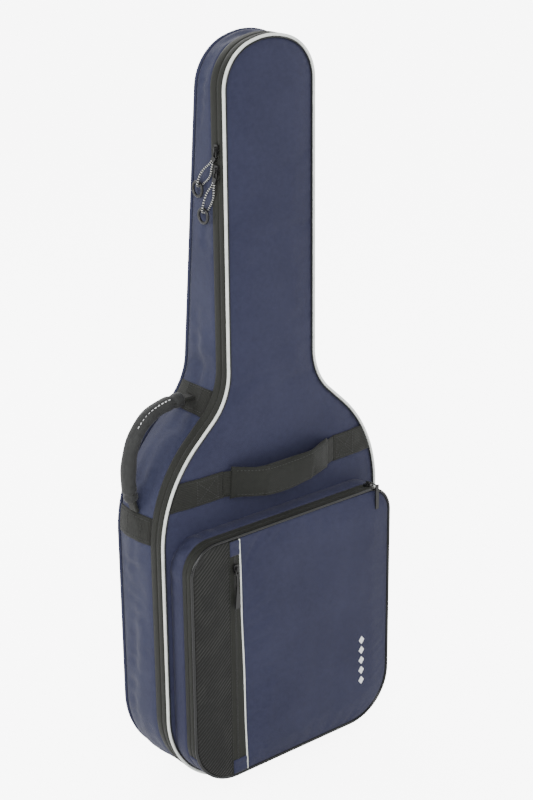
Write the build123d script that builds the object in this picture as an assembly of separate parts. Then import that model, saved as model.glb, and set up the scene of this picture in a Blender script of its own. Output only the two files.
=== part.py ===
from build123d import *
import math
import os

# Padded classical-guitar gig bag, millimetres.  +Z is up, the bag stands on its bottom edge.
# X runs across the bag and X = 0 is its middle.  The front panel faces -Y, the carrying
# straps are on the +Y side, and Y = 0 is half way through the body's depth.

os.makedirs("parts", exist_ok=True)

# ---- overall sizes ----
bag_height = 1050.0
body_half_width = 191.0
neck_half_width = 75.0
body_depth = 100.0
head_depth = 51.0
base_guard_thick = 3.0

# ---- outline of the bag, seen from the front ----
bottom_corner_radius = 128.0
shoulder_start_z = 384.0
shoulder_radius = 195.0
shoulder_angle = 47.0
neck_root_radius = 88.0
head_corner_radius = 62.0
head_corner_drop = 22.0
head_crown_radius = 95.0
back_bend_z = 538.0
base_guard_margin = 3.0
base_guard_edge = 2.0
base_guard_radius = 12.0

# ---- fabric layers ----
fabric_thick = 1.0
foam_thick = 8.0
lining_thick = 1.0
layer_gap = 0.2
seam_margin = 3.7

# ---- zip round the bag ----
zip_line_y = -37.0
zip_half_gap = 0.2
zip_tape_back_y = -24.0
zip_coil_width = 1.6
zip_coil_depth = 1.2
zip_stop_length = 6.0
zip_stop_depth = 2.4
zip_foam_gap = 0.5
piping_radius = 2.5
piping_inset = 1.0
piping_gap = 0.2

# ---- protector patches inside the bag ----
protector_thick = 2.0
head_patch_width = 100.0
head_patch_low_z = 870.0
head_patch_high_z = 1000.0
bridge_patch_width = 190.0
bridge_patch_low_z = 175.0
bridge_patch_high_z = 300.0
bridge_patch_radius = 14.0

# ---- lid hinge on the right side ----
hinge_low_z = 134.0
hinge_high_z = 384.0

# ---- front pocket ----
pocket_half_width = 178.0
pocket_low_z = 33.0
pocket_high_z = 401.0
pocket_depth = 47.0
pocket_top_radius = 42.0
pocket_bottom_radius = 72.0
pocket_wall_thick = 1.5
pocket_zip_inset_y = 12.0
pocket_tape_width = 9.0
pocket_piping_radius = 2.2
pocket_seam_margin = 3.4
flap_fabric_thick = 0.8
flap_foam_thick = 3.0

# ---- upright zip in the pocket flap ----
side_zip_x = -106.0
side_zip_tape_width = 22.0
side_zip_tab_length = 22.0
side_zip_tab_outer_gap = 3.0
side_zip_tab_inner_gap = 0.5
side_zip_end_gap = 1.0
side_zip_coil_width = 3.0
trim_piping_x = -93.6
trim_piping_radius = 1.2
trim_piping_sink = 0.2

# ---- carrying handles ----
webbing_width = 38.0
webbing_thick = 1.6
side_handle_y = 8.0
side_anchor_low_z = 389.0
side_anchor_high_z = 550.0
side_anchor_top_height = 34.0
grip_radius = 9.5
grip_core_radius = 3.5
grip_bare_length = 16.0
front_handle_z = 460.0
front_handle_left_x = -91.0
front_handle_right_x = 105.0
front_handle_rise = 20.0
front_handle_lift = 3.0
front_handle_end_gap = 1.0
front_handle_level_share = 0.62
front_handle_bend_radius = 70.0
front_handle_core_width = 12.0
front_sleeve_thick = 5.0
front_sleeve_margin = 20.0

# ---- sliders and pulls ----
slider_length = 13.0
slider_width = 9.0
slider_thick = 3.0
slider_gap = 0.4
slider_nose_width = 4.95
slider_tail_width = 7.2
slider_corner_radius = 1.0
arch_height = 2.9
arch_length = 7.0
arch_width = 2.4
arch_hole_height = 2.2
arch_hole_length = 4.6
pull_bar_radius = 0.7
pull_arm_gap = 0.6
pull_arm_width = 1.3
pull_foot_length = 1.5
leaf_frame_length = 8.0
leaf_stem_start = 7.0
leaf_stem_end = 27.0
leaf_stem_thick = 1.8
leaf_start = 24.0
leaf_end = 58.0
leaf_stem_width = 2.6
leaf_width = 9.2
leaf_thick = 2.4
pocket_pull_bar_length = 8.0
pocket_pull_arm_x = 2.6
pocket_pull_tab_x = 0.5
pocket_pull_tab_width = 5.5
pocket_pull_tab_thick = 2.0
pocket_pull_clearance = 2.5
pocket_pull_drop = 36.0
upper_slider_z = 912.0
lower_slider_z = 885.0
side_slider_z = 356.0
pocket_slider_x = 146.0

# ---- cord pulls on the two main sliders ----
cord_radius = 1.25
clamp_length = 8.0
clamp_width = 7.0
clamp_thick = 3.0
clamp_start = 9.3
ring_wire_radius = 2.0
ring_radius = 9.5
ring_height = 5.8
ring_distance = 60.4
upper_pull_tilt = 37.0
lower_pull_tilt = 25.0

# ---- carrying straps on the back ----
strap_top_x = 16.0
strap_top_z = 575.0
strap_foot_x = 104.0
strap_foot_z = 92.0
strap_gap = 6.0
strap_pad_thick = 9.0
strap_pad_width = 56.0
strap_pad_start = 14.0
strap_pad_end = 330.0
strap_pad_bow = 14.0
strap_pad_start_x = 0.5
strap_pad_end_x = 3.0
strap_pad_shoulder = 8.0
strap_pad_tail = 6.0
strap_pad_corner_radius = 8.0
strap_pad_bow_radius = 240.0
strap_webbing_x = 5.0
strap_webbing_foot_x = 2.0
strap_webbing_width = 25.0
strap_webbing_lift = 3.0
strap_end_gap = 0.3
strap_foot_length = 34.0
adjuster_start = 8.0
adjuster_length = 28.0
adjuster_thick = 6.0
adjuster_lift = 1.0
adjuster_wall = 1.9
adjuster_side = 3.5
adjuster_slot_gap = 0.2
strap_anchor_thick = 3.0
top_anchor_margin = 14.0
top_anchor_below = 8.0
top_anchor_above = 36.0
foot_anchor_margin = 6.0
foot_anchor_below = 12.0
foot_anchor_above = 26.0

front_y = -body_depth / 2
back_y = body_depth / 2
lid_back_y = zip_line_y - zip_half_gap
shell_front_y = zip_line_y + zip_half_gap
pocket_front_y = front_y - pocket_depth
pocket_zip_y = pocket_front_y + pocket_zip_inset_y
crown_angle = math.atan2(head_corner_drop, neck_half_width)
apex_z = bag_height + head_crown_radius * (1 / math.cos(crown_angle) - 1)
back_slope = (body_depth - head_depth) / (bag_height - back_bend_z)
work_reach = 400.0


def bag_corners():
    """Corners and corner radii of the bag's outline, counter-clockwise in X and Z."""
    shoulder_z = shoulder_start_z + shoulder_radius * math.tan(math.radians(shoulder_angle / 2))
    step = body_half_width - neck_half_width
    root_z = shoulder_z + step / math.tan(math.radians(shoulder_angle))
    right = [
        (body_half_width, base_guard_thick, bottom_corner_radius),
        (body_half_width, shoulder_z, shoulder_radius),
        (neck_half_width, root_z, neck_root_radius),
        (neck_half_width, apex_z - head_corner_drop, head_corner_radius),
    ]
    left = [(-x, z, r) for x, z, r in reversed(right)]
    return right + [(0.0, apex_z, head_crown_radius)] + left


def pocket_corners():
    """Corners and corner radii of the pocket's outline."""
    return [
        (pocket_half_width, pocket_low_z, pocket_bottom_radius),
        (pocket_half_width, pocket_high_z, pocket_top_radius),
        (-pocket_half_width, pocket_high_z, pocket_top_radius),
        (-pocket_half_width, pocket_low_z, pocket_bottom_radius),
    ]


def inset_corners(corners, inset):
    """The same outline with every side moved inwards; a negative inset moves it outwards."""
    count = len(corners)
    moved = []
    for i, (x, z, radius) in enumerate(corners):
        before = corners[i - 1]
        after = corners[(i + 1) % count]
        ax, az = x - before[0], z - before[1]
        bx, bz = after[0] - x, after[1] - z
        a_length = math.hypot(ax, az)
        b_length = math.hypot(bx, bz)
        ax, az, bx, bz = ax / a_length, az / a_length, bx / b_length, bz / b_length
        turn = ax * bz - az * bx
        along = inset * (1 - (ax * bx + az * bz)) / turn
        moved_x = x - az * inset - ax * along
        moved_z = z + ax * inset - az * along
        moved.append((moved_x, moved_z, radius - math.copysign(inset, turn)))
    return moved


def outline_wire(corners, inset, y):
    """Closed wire of lines and tangent arcs at one depth."""
    moved = inset_corners(corners, inset)
    points = [(x, y, z) for x, z, radius in moved]
    line = FilletPolyline(*points, radius=[radius for x, z, radius in moved], close=True)
    return line.wires()[0]


def slab(corners, inset, y_low, y_high):
    """The whole outline as a plate between two depths."""
    face = Face(outline_wire(corners, inset, y_low))
    return extrude(face, amount=y_high - y_low, dir=(0, 1, 0))


def ring(corners, outer_inset, inner_inset, y_low, y_high):
    """A band that follows the outline, between two insets and two depths."""
    outer = outline_wire(corners, outer_inset, y_low)
    inner = outline_wire(corners, inner_inset, y_low)
    return extrude(Face(outer, [inner]), amount=y_high - y_low, dir=(0, 1, 0))


def block(x_low, x_high, y_low, y_high, z_low, z_high):
    """A box given by its two corners."""
    centre = ((x_low + x_high) / 2, (y_low + y_high) / 2, (z_low + z_high) / 2)
    return Pos(*centre) * Box(x_high - x_low, y_high - y_low, z_high - z_low)


def back_surface_y(z, shift=0.0):
    """Y of the back face at a height, moved forwards by shift."""
    return back_y - shift - back_slope * max(0.0, z - back_bend_z)


def before_back(shift, y_low):
    """All the space in front of the back face moved forwards by shift."""
    low_z, high_z = -work_reach, bag_height + work_reach
    points = [
        (0, y_low, low_z),
        (0, back_surface_y(low_z, shift), low_z),
        (0, back_surface_y(back_bend_z, shift), back_bend_z),
        (0, back_surface_y(high_z, shift), high_z),
        (0, y_low, high_z),
    ]
    face = Face(Polyline(*points, close=True).wires()[0])
    return extrude(face, amount=work_reach, dir=(1, 0, 0), both=True)


def back_layer(inset, near, far):
    """A layer of the back panel between two depths below the back face."""
    plate = slab(bag_corners(), inset, 0 - body_depth, body_depth)
    return plate & before_back(near, -body_depth) - before_back(far, -2 * body_depth)


def wall_layer(outer_inset, inner_inset, y_low, back_shift):
    """A layer of the side wall from one depth back to the back panel."""
    band = ring(bag_corners(), outer_inset, inner_inset, y_low, body_depth)
    return band & before_back(back_shift, -body_depth)


def tube(path, radius):
    """A round tube along a wire."""
    start = Plane(origin=path @ 0, z_dir=path % 0)
    return sweep(start * Circle(radius), path=path)


def piping(corners, inset, y, radius):
    """Round piping that follows an outline at one depth."""
    return tube(outline_wire(corners, inset, y), radius)


def bend_radii(points):
    """The largest arcs that the runs of a route leave room for, one at each inner point."""
    radii = []
    for i in range(1, len(points) - 1):
        before = Vector(*points[i]) - Vector(*points[i - 1])
        after = Vector(*points[i + 1]) - Vector(*points[i])
        shorter = min(before.length, after.length)
        half_turn = math.radians(before.get_angle(after) / 2)
        radii.append(0.45 * shorter / math.tan(half_turn))
    return radii


def bent_wire(points):
    """Straight runs through a route's points, joined by tangent arcs."""
    return FilletPolyline(*points, radius=bend_radii(points)).wires()[0]


def save(name, shape):
    export_step(shape, f"parts/{name}.step")


def save_group(name, shapes):
    """Several separate solids in one node."""
    save(name, Compound(children=shapes))


# ---- shell: back panel and side wall ----

def make_shell():
    bag = bag_corners()
    foam_near = fabric_thick
    lining_near = foam_near + foam_thick
    panel_depth = lining_near + lining_thick
    save("back_panel_fabric", back_layer(seam_margin, 0, foam_near))
    save("back_panel_foam", back_layer(seam_margin, foam_near, lining_near))
    save("back_panel_lining", back_layer(seam_margin, lining_near, panel_depth))
    rear_seam = piping_radius + piping_gap
    foam_outer = fabric_thick + layer_gap
    foam_inner = foam_outer + foam_thick
    foam_y = shell_front_y + zip_stop_depth + zip_foam_gap
    panel_back = panel_depth + layer_gap
    lining_outer = foam_inner + layer_gap
    save("gusset_fabric", wall_layer(0, fabric_thick, zip_tape_back_y, rear_seam))
    save("gusset_foam", wall_layer(foam_outer, foam_inner, foam_y, panel_back))
    save("gusset_lining", wall_layer(lining_outer, lining_outer + lining_thick, foam_y, panel_back))
    tape = ring(bag, 0, fabric_thick, shell_front_y, zip_tape_back_y)
    hinge_box = block(neck_half_width, work_reach, -body_depth, 0, hinge_low_z, hinge_high_z)
    save("gusset_zip_tape", tape - hinge_box)
    save("hinge_strip", tape & hinge_box)
    coil_inner = foam_outer + zip_coil_width
    coil = ring(bag, foam_outer, coil_inner, shell_front_y, shell_front_y + zip_coil_depth)
    stop_box = block(neck_half_width, work_reach, -body_depth, 0,
                     hinge_low_z - zip_stop_length, hinge_high_z + zip_stop_length)
    save("gusset_zip_coil", coil - stop_box)
    stop_zone = stop_box - hinge_box
    stops = ring(bag, foam_outer, coil_inner, shell_front_y, shell_front_y + zip_stop_depth)
    save_group("zip_end_stops", list((stops & stop_zone).solids()))
    save("back_piping", back_piping())
    save("base_guard", base_guard())
    half = head_patch_width / 2
    head_patch = block(-half, half, -body_depth, body_depth, head_patch_low_z, head_patch_high_z)
    patch = back_layer(seam_margin, panel_depth, panel_depth + protector_thick) & head_patch
    save("headstock_protector", patch)


def back_piping():
    """Piping round the back face, which bends forwards above the body."""
    moved = inset_corners(bag_corners(), piping_inset)
    points = []
    radii = []
    for i, (x, z, radius) in enumerate(moved):
        nx, nz, _ = moved[(i + 1) % len(moved)]
        points.append((x, back_surface_y(z), z))
        radii.append(radius)
        crosses = (z - back_bend_z) * (nz - back_bend_z) < 0
        if crosses:
            share = (back_bend_z - z) / (nz - z)
            points.append((x + share * (nx - x), back_y, back_bend_z))
            radii.append(head_corner_radius)
    line = FilletPolyline(*points, radius=radii, close=True)
    return tube(line.wires()[0], piping_radius)


def base_guard():
    """Flat wear patch under the bag, which it stands on."""
    half = body_half_width - bottom_corner_radius - base_guard_margin
    y_low = shell_front_y + base_guard_edge
    y_high = back_y - piping_radius - base_guard_edge
    plate = block(-half, half, y_low, y_high, 0, base_guard_thick)
    return fillet(plate.edges().filter_by(Axis.Z), base_guard_radius)


# ---- lid: front panel ----

def make_lid():
    bag = bag_corners()
    foam_y = front_y + fabric_thick
    lining_y = foam_y + foam_thick
    back_face_y = lining_y + lining_thick
    save("front_panel_fabric", slab(bag, seam_margin, front_y, foam_y))
    save("front_panel_foam", slab(bag, seam_margin, foam_y, lining_y))
    save("front_panel_lining", slab(bag, seam_margin, lining_y, back_face_y))
    save("front_piping", piping(bag, piping_inset, front_y, piping_radius))
    tape_y = front_y + piping_radius + piping_gap
    save("lid_zip_tape", ring(bag, 0, fabric_thick, tape_y, lid_back_y))
    coil_outer = fabric_thick + layer_gap
    hinge_box = block(neck_half_width, work_reach, -body_depth, 0,
                      hinge_low_z - zip_stop_length, hinge_high_z + zip_stop_length)
    coil = ring(bag, coil_outer, coil_outer + zip_coil_width, lid_back_y - zip_coil_depth, lid_back_y)
    save("lid_zip_coil", coil - hinge_box)
    half = bridge_patch_width / 2
    patch = block(-half, half, back_face_y, back_face_y + protector_thick,
                  bridge_patch_low_z, bridge_patch_high_z)
    save("bridge_protector", fillet(patch.edges().filter_by(Axis.Y), bridge_patch_radius))
    low_z = front_handle_z - webbing_width / 2
    high_z = front_handle_z + webbing_width / 2
    webbing = slab(bag, seam_margin + layer_gap, front_y - webbing_thick, front_y)
    left = webbing & block(-work_reach, front_handle_left_x, -body_depth, 0, low_z, high_z)
    right = webbing & block(front_handle_right_x, work_reach, -body_depth, 0, low_z, high_z)
    save_group("front_handle_anchors", [left.solids()[0], right.solids()[0]])


def make_pocket_wall():
    """The fixed wall of the pocket, sewn to the lid, and its half of the zip."""
    pocket = pocket_corners()
    tape_y = pocket_zip_y + pocket_tape_width
    save("pocket_gusset", ring(pocket, 0, pocket_wall_thick, tape_y, front_y))
    save("pocket_zip_tape", ring(pocket, 0, pocket_wall_thick, pocket_zip_y + zip_half_gap, tape_y))


# ---- pocket flap ----

def make_flap():
    pocket = pocket_corners()
    fabric_back_y = pocket_front_y + flap_fabric_thick
    foam_back_y = fabric_back_y + flap_foam_thick
    face = slab(pocket, pocket_seam_margin, pocket_front_y, fabric_back_y)
    tape_left = side_zip_x - side_zip_tape_width / 2
    tape_right = trim_piping_x - trim_piping_radius - piping_gap
    panel_left = trim_piping_x + trim_piping_radius + piping_gap
    deep, near = -2 * body_depth, 0
    save("flap_panel", face & block(panel_left, work_reach, deep, near, 0, bag_height))
    save("flap_ribbed_panel", face & block(-work_reach, tape_left, deep, near, 0, bag_height))
    save("flap_zip_tape", face & block(tape_left, tape_right, deep, near, 0, bag_height))
    save("flap_foam", slab(pocket, pocket_seam_margin, fabric_back_y, foam_back_y))
    low_z = pocket_low_z + pocket_seam_margin + side_zip_end_gap
    high_z = pocket_high_z - pocket_seam_margin - side_zip_end_gap
    tab_left = tape_left + side_zip_tab_outer_gap
    tab_right = tape_right - side_zip_tab_inner_gap
    tab_low = block(tab_left, tab_right, pocket_front_y - flap_fabric_thick, pocket_front_y,
                    low_z, low_z + side_zip_tab_length)
    tab_high = block(tab_left, tab_right, pocket_front_y - flap_fabric_thick, pocket_front_y,
                     high_z - side_zip_tab_length, high_z)
    save_group("flap_zip_tabs", [tab_low, tab_high])
    half_coil = side_zip_coil_width / 2
    coil = block(side_zip_x - half_coil, side_zip_x + half_coil,
                 pocket_front_y - flap_fabric_thick, pocket_front_y,
                 low_z + side_zip_tab_length, high_z - side_zip_tab_length)
    save("flap_zip_coil", coil)
    trim_y = pocket_front_y + trim_piping_sink
    trim_line = Edge.make_line((trim_piping_x, trim_y, low_z), (trim_piping_x, trim_y, high_z))
    save("flap_trim_piping", cut_for_foam(tube(trim_line, trim_piping_radius), fabric_back_y))
    edge_y = pocket_front_y + pocket_piping_radius - flap_fabric_thick
    save("flap_edge_piping", piping(pocket, piping_inset, edge_y, pocket_piping_radius))
    tape_front_y = edge_y + pocket_piping_radius + piping_gap
    save("flap_edge_zip_tape", ring(pocket, 0, pocket_wall_thick, tape_front_y, pocket_zip_y - zip_half_gap))


def cut_for_foam(shape, y):
    """Takes away what would reach behind a depth."""
    return shape - block(-work_reach, work_reach, y, work_reach, -work_reach, bag_height)


# ---- handles ----

def side_anchor(low_z, high_z):
    """Webbing patch across the side wall, outside the gusset fabric."""
    band = ring(bag_corners(), -webbing_thick, 0, zip_tape_back_y, body_depth)
    band = band & before_back(2 * piping_radius, -body_depth)
    return band & block(-work_reach, 0, -body_depth, body_depth, low_z, high_z)


def side_handle_route():
    """Centre line of the side grip, between its two webbing patches."""
    points = [
        (-94.5, side_handle_y, 569.5),
        (-128.0, side_handle_y, 571.0),
        (-168.0, side_handle_y, 560.0),
        (-195.0, side_handle_y, 526.0),
        (-202.0, side_handle_y, 482.0),
        (-199.0, side_handle_y, 452.0),
        (-192.5, side_handle_y, 431.0),
    ]
    return bent_wire(points)


def make_side_handle():
    route = side_handle_route()
    bare = grip_bare_length / route.length
    middle = route.trim(bare, 1 - bare)
    core = tube(route, grip_core_radius)
    grip = tube(middle, grip_radius) - tube(middle, grip_core_radius)
    save("side_grip_core", core)
    save("side_grip", grip)
    low_high_z = side_anchor_low_z + webbing_width
    top_high_z = side_anchor_high_z + side_anchor_top_height
    save("side_anchor_lower", side_anchor(side_anchor_low_z, low_high_z))
    save("side_anchor_upper", side_anchor(side_anchor_high_z, top_high_z))


def front_handle_route(start_x, end_x):
    """The handle's arch off the front panel, between two places in X."""
    low_y = front_y - webbing_thick - front_handle_lift
    high_y = low_y - front_handle_rise
    middle_x = (start_x + end_x) / 2
    level = front_handle_level_share * (end_x - start_x) / 2
    points = [
        (start_x + front_handle_end_gap, low_y, front_handle_z),
        (middle_x - level, high_y, front_handle_z),
        (middle_x + level, high_y, front_handle_z),
        (end_x - front_handle_end_gap, low_y, front_handle_z),
    ]
    return FilletPolyline(*points, radius=[front_handle_bend_radius, front_handle_bend_radius]).wires()[0]


def strip(route, thick, width):
    """A flat strip along a wire, its width upright."""
    start = Plane(origin=route @ 0, x_dir=(0, 0, 1), z_dir=route % 0)
    return sweep(start * Rectangle(width, thick), path=route)


def make_front_handle():
    route = front_handle_route(front_handle_left_x, front_handle_right_x)
    core = strip(route, webbing_thick, front_handle_core_width)
    sleeve = strip(route, front_sleeve_thick, webbing_width) - core
    low_x = front_handle_left_x + front_sleeve_margin
    high_x = front_handle_right_x - front_sleeve_margin
    zone = block(low_x, high_x, -2 * body_depth, 0, 0, bag_height)
    save("front_handle_webbing", core)
    save("front_handle_sleeve", sleeve & zone)


# ---- zip sliders and pulls, drawn flat: +Y is the way the zip closes, +Z is outwards ----

def slider_body(arch_turn=0):
    """A zip slider with the arch that its pull hangs from, turned by an angle."""
    half_w, half_l = slider_width / 2, slider_length / 2
    nose, tail = slider_nose_width / 2, slider_tail_width / 2
    shape = Polyline((-nose, -half_l), (nose, -half_l), (half_w, 0), (tail, half_l),
                     (-tail, half_l), (-half_w, 0), close=True)
    plate = extrude(Face(shape.wires()[0]), amount=slider_thick, dir=(0, 0, 1))
    plate = fillet(plate.edges().filter_by(Axis.Z), slider_corner_radius)
    arch = Pos(0, 0, slider_thick + arch_height / 2) * Box(arch_width, arch_length, arch_height)
    hole = Box(slider_width, arch_hole_length, arch_hole_height)
    hole = Pos(0, 0, slider_thick + arch_hole_height / 2) * hole
    return plate + Rot(0, 0, arch_turn) * (arch - hole)


def pull_frame(length):
    """Cross bar and two arms that go round the slider's arch."""
    arm_x = arch_width / 2 + pull_arm_gap + pull_arm_width / 2
    outer = arm_x + pull_arm_width / 2
    bar = Rot(0, 90, 0) * Cylinder(pull_bar_radius, 2 * outer)
    arm = Box(pull_arm_width, length, 2 * pull_bar_radius)
    left = Pos(-arm_x, -length / 2, 0) * arm
    right = Pos(arm_x, -length / 2, 0) * arm
    foot_y = pull_foot_length / 2 - length
    foot = Pos(0, foot_y, 0) * Box(2 * outer, pull_foot_length, 2 * pull_bar_radius)
    return bar + left + right + foot


pull_height = slider_gap + slider_thick + arch_hole_height / 2


def leaf_pull():
    """Long soft tab of the flap's upright zip."""
    stem_middle = (leaf_stem_start + leaf_stem_end) / 2
    stem = Pos(0, -stem_middle, 0) * Box(leaf_stem_width, leaf_stem_end - leaf_stem_start, leaf_stem_thick)
    top, end = leaf_stem_width / 2, leaf_width / 2
    leaf = Polyline((-top, -leaf_start), (top, -leaf_start), (end, -leaf_end), (-end, -leaf_end), close=True)
    blade = Pos(0, 0, -leaf_thick / 2) * extrude(Face(leaf.wires()[0]), amount=leaf_thick, dir=(0, 0, 1))
    return pull_frame(leaf_frame_length) + stem + blade


def on_side_wall(y, z, shape):
    """Places a flat drawing on the left side of the neck: drawn up is +Z, outwards is -X."""
    plane = Plane(origin=(-neck_half_width - slider_gap, y, z), x_dir=(0, -1, 0), z_dir=(-1, 0, 0))
    return plane * shape


def make_main_slider(name, z, tilt, route):
    save(f"main_slider_{name}", on_side_wall(zip_line_y, z, slider_body()))
    height = pull_height - slider_gap
    clamp = Pos(0, -clamp_length / 2, 0) * Box(clamp_width, clamp_length, clamp_thick)
    clamp = Pos(0, -clamp_start, 0) * Rot(0, 0, -tilt) * clamp
    keep_clear = Box(arch_width + 2 * pull_arm_gap, 2 * clamp_start, 2 * clamp_thick)
    pull = pull_frame(clamp_start + pull_foot_length) + (clamp - keep_clear)
    save(f"pull_clamp_{name}", on_side_wall(zip_line_y, z, Pos(0, 0, height) * pull))
    path = cord_path(zip_line_y, z, tilt, route)
    cord = tube(path, cord_radius)
    print_cord(name, path, cord)
    save(f"pull_cord_{name}", cord)
    save(f"pull_ring_{name}", pull_ring(zip_line_y, z, tilt))


def pull_point(slider_y, slider_z, tilt, along, across, height):
    """A point of a cord pull: along it, across it and out from the side wall."""
    lean = math.radians(tilt)
    y = slider_y + along * math.sin(lean) + across * math.cos(lean)
    z = slider_z - clamp_start - along * math.cos(lean) + across * math.sin(lean)
    return (-neck_half_width - height, y, z)


def cord_path(slider_y, slider_z, tilt, route):
    points = [pull_point(slider_y, slider_z, tilt, *place) for place in route]
    print("cord radii", [round(radius, 1) for radius in bend_radii(points)])
    return bent_wire(points)


def print_cord(name, path, cord):
    expected = math.pi * cord_radius ** 2 * path.length
    print(f"cord {name}: length {path.length:.1f} mm")
    print(f"volume {cord.volume:.1f} mm3, section times length {expected:.1f} mm3")


def pull_ring(slider_y, slider_z, tilt):
    """Round rubber ring threaded on the cord loop, flat against the side wall."""
    centre = pull_point(slider_y, slider_z, tilt, ring_distance, 0, ring_height)
    return Pos(*centre) * Rot(0, 90, 0) * Torus(ring_radius, ring_wire_radius)


# along the pull, across it, out from the side wall
upper_cord_route = [
    (8.0, 1.7, 4.5), (14.6, 1.7, 4.5), (26.0, 5.4, 6.6), (38.0, 5.0, 9.0), (47.5, 1.8, 10.1),
    (55.0, 0.3, 10.0), (55.0, -0.3, 1.6), (46.5, -1.9, 1.7), (37.0, -5.4, 2.0),
    (25.5, -5.6, 2.6), (14.4, -1.7, 4.5), (8.0, -1.7, 4.5),
]
lower_cord_route = [
    (8.0, 1.7, 4.5), (14.2, 1.7, 4.5), (25.0, 5.0, 6.4), (36.5, 3.4, 9.2), (47.0, 1.4, 10.0),
    (55.0, 0.4, 9.9), (55.0, -0.4, 1.6), (47.0, -2.4, 1.7), (36.0, -4.6, 2.0),
    (25.0, -4.8, 2.8), (14.0, -1.7, 4.5), (8.0, -1.7, 4.5),
]


def make_flap_slider():
    """Slider of the upright zip and its leaf-shaped tab."""
    plane = Plane(origin=(side_zip_x, pocket_front_y - flap_fabric_thick - slider_gap, side_slider_z),
                  x_dir=(1, 0, 0), z_dir=(0, -1, 0))
    save("flap_slider", plane * slider_body())
    save("flap_slider_pull", plane * Pos(0, 0, pull_height - slider_gap) * leaf_pull())


def make_pocket_slider():
    """Slider on top of the pocket; its tab lies over the front edge."""
    plane = Plane(origin=(pocket_slider_x, pocket_zip_y, pocket_high_z + slider_gap),
                  x_dir=(0, 1, 0), z_dir=(0, 0, 1))
    save("pocket_slider", plane * slider_body(arch_turn=90))
    reach = pocket_zip_y - pocket_front_y + pocket_pull_clearance
    bar = Rot(0, 90, 0) * Cylinder(pull_bar_radius, pocket_pull_bar_length)
    top_arm = block(pocket_pull_arm_x, pocket_pull_arm_x + pull_arm_width, -reach, 0,
                    -pull_bar_radius, pull_bar_radius)
    tab = block(pocket_pull_tab_x, pocket_pull_tab_x + pocket_pull_tab_width,
                -reach - pocket_pull_tab_thick, -reach, -pocket_pull_drop, pull_bar_radius)
    height = pocket_high_z + pull_height
    pull = Pos(pocket_slider_x, pocket_zip_y, height) * (bar + top_arm + tab)
    save("pocket_slider_pull", pull)


# ---- back straps ----

def strap_frame(side):
    """Flat drawing plane of one strap: drawn -Y runs down the strap, +X is outboard."""
    top = Vector(side * strap_top_x, 0, strap_top_z)
    foot = Vector(side * strap_foot_x, 0, strap_foot_z)
    down = (foot - top).normalized()
    y = back_y + strap_gap
    outboard = Vector(-down.Z, 0, down.X) * side
    return Plane(origin=(top.X, y, top.Z), x_dir=outboard, z_dir=outboard.cross(down * -1))


def strap_length():
    return math.hypot(strap_foot_x - strap_top_x, strap_top_z - strap_foot_z)


def flat_piece(side, outline, thick, lift):
    """A flat outline in the strap's plane given a thickness away from the back."""
    frame = strap_frame(side)
    face = Face(outline.wires()[0])
    solid = extrude(face, amount=thick, dir=(0, 0, 1))
    placed = frame * solid
    low = placed.bounding_box().min.Y
    return Pos(0, back_y + strap_gap + lift - low, 0) * placed


def adjuster_block(side, margin, start, length, thick, lift):
    """A plate across the strap's webbing, wider than it by a margin at each side."""
    low_x = strap_webbing_x - margin
    high_x = strap_webbing_x + strap_webbing_width + margin
    top = -strap_pad_end - start
    outline = Polyline((low_x, top), (high_x, top), (high_x, top - length), (low_x, top - length), close=True)
    return flat_piece(side, outline, thick, lift)


def make_strap(name, side):
    start, end, width, bow = strap_pad_start, strap_pad_end, strap_pad_width, strap_pad_bow
    middle = (start + end) / 2
    tail_x = strap_pad_end_x + strap_webbing_width + strap_pad_tail
    corner, curve = strap_pad_corner_radius, strap_pad_bow_radius
    pad_outline = FilletPolyline(
        (strap_pad_start_x, -start), (bow, -middle), (strap_pad_end_x, -end), (tail_x, -end),
        (bow + width, -middle), (strap_webbing_width + strap_pad_shoulder, -start),
        radius=[corner, curve, corner, corner, curve, corner], close=True)
    pad = flat_piece(side, pad_outline, strap_pad_thick, 0)
    head_x, foot_x = strap_webbing_x, strap_webbing_foot_x
    webbing_start = end + strap_end_gap
    webbing_end = strap_length() - strap_foot_length
    webbing_outline = Polyline((head_x, -webbing_start), (head_x + strap_webbing_width, -webbing_start),
                               (foot_x + strap_webbing_width, -webbing_end), (foot_x, -webbing_end),
                               close=True)
    webbing = flat_piece(side, webbing_outline, webbing_thick, strap_webbing_lift)
    buckle = adjuster_block(side, adjuster_side, adjuster_start, adjuster_length,
                            adjuster_thick, adjuster_lift)
    slot_side = adjuster_side - adjuster_wall
    slot_lift = strap_webbing_lift - adjuster_slot_gap
    slot_thick = webbing_thick + 2 * adjuster_slot_gap
    slot = adjuster_block(side, slot_side, 0, 2 * adjuster_length, slot_thick, slot_lift)
    save(f"strap_pad_{name}", pad)
    save(f"strap_webbing_{name}", webbing)
    save(f"strap_adjuster_{name}", buckle - slot)


def make_strap_anchors():
    """Patches on the back panel that the straps are sewn into."""
    half = strap_top_x + strap_webbing_width + top_anchor_margin
    top = block(-half, half, 0, back_y + strap_anchor_thick,
                strap_top_z - top_anchor_below, strap_top_z + top_anchor_above)
    top = top - before_back(0, -body_depth)
    save("strap_top_anchor", top)
    feet = []
    for side in (-1, 1):
        inner = side * (strap_foot_x - foot_anchor_margin)
        outer = side * (strap_foot_x + strap_webbing_width + foot_anchor_margin)
        low_x, high_x = sorted((inner, outer))
        feet.append(block(low_x, high_x, back_y, back_y + strap_anchor_thick,
                          strap_foot_z - foot_anchor_below, strap_foot_z + foot_anchor_above))
    save_group("strap_foot_anchors", feet)


make_shell()
make_lid()
make_pocket_wall()
make_flap()
make_side_handle()
make_front_handle()
make_main_slider("upper", upper_slider_z, upper_pull_tilt, upper_cord_route)
make_main_slider("lower", lower_slider_z, lower_pull_tilt, lower_cord_route)
make_flap_slider()
make_pocket_slider()
make_strap("left", -1)
make_strap("right", 1)
make_strap_anchors()
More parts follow.
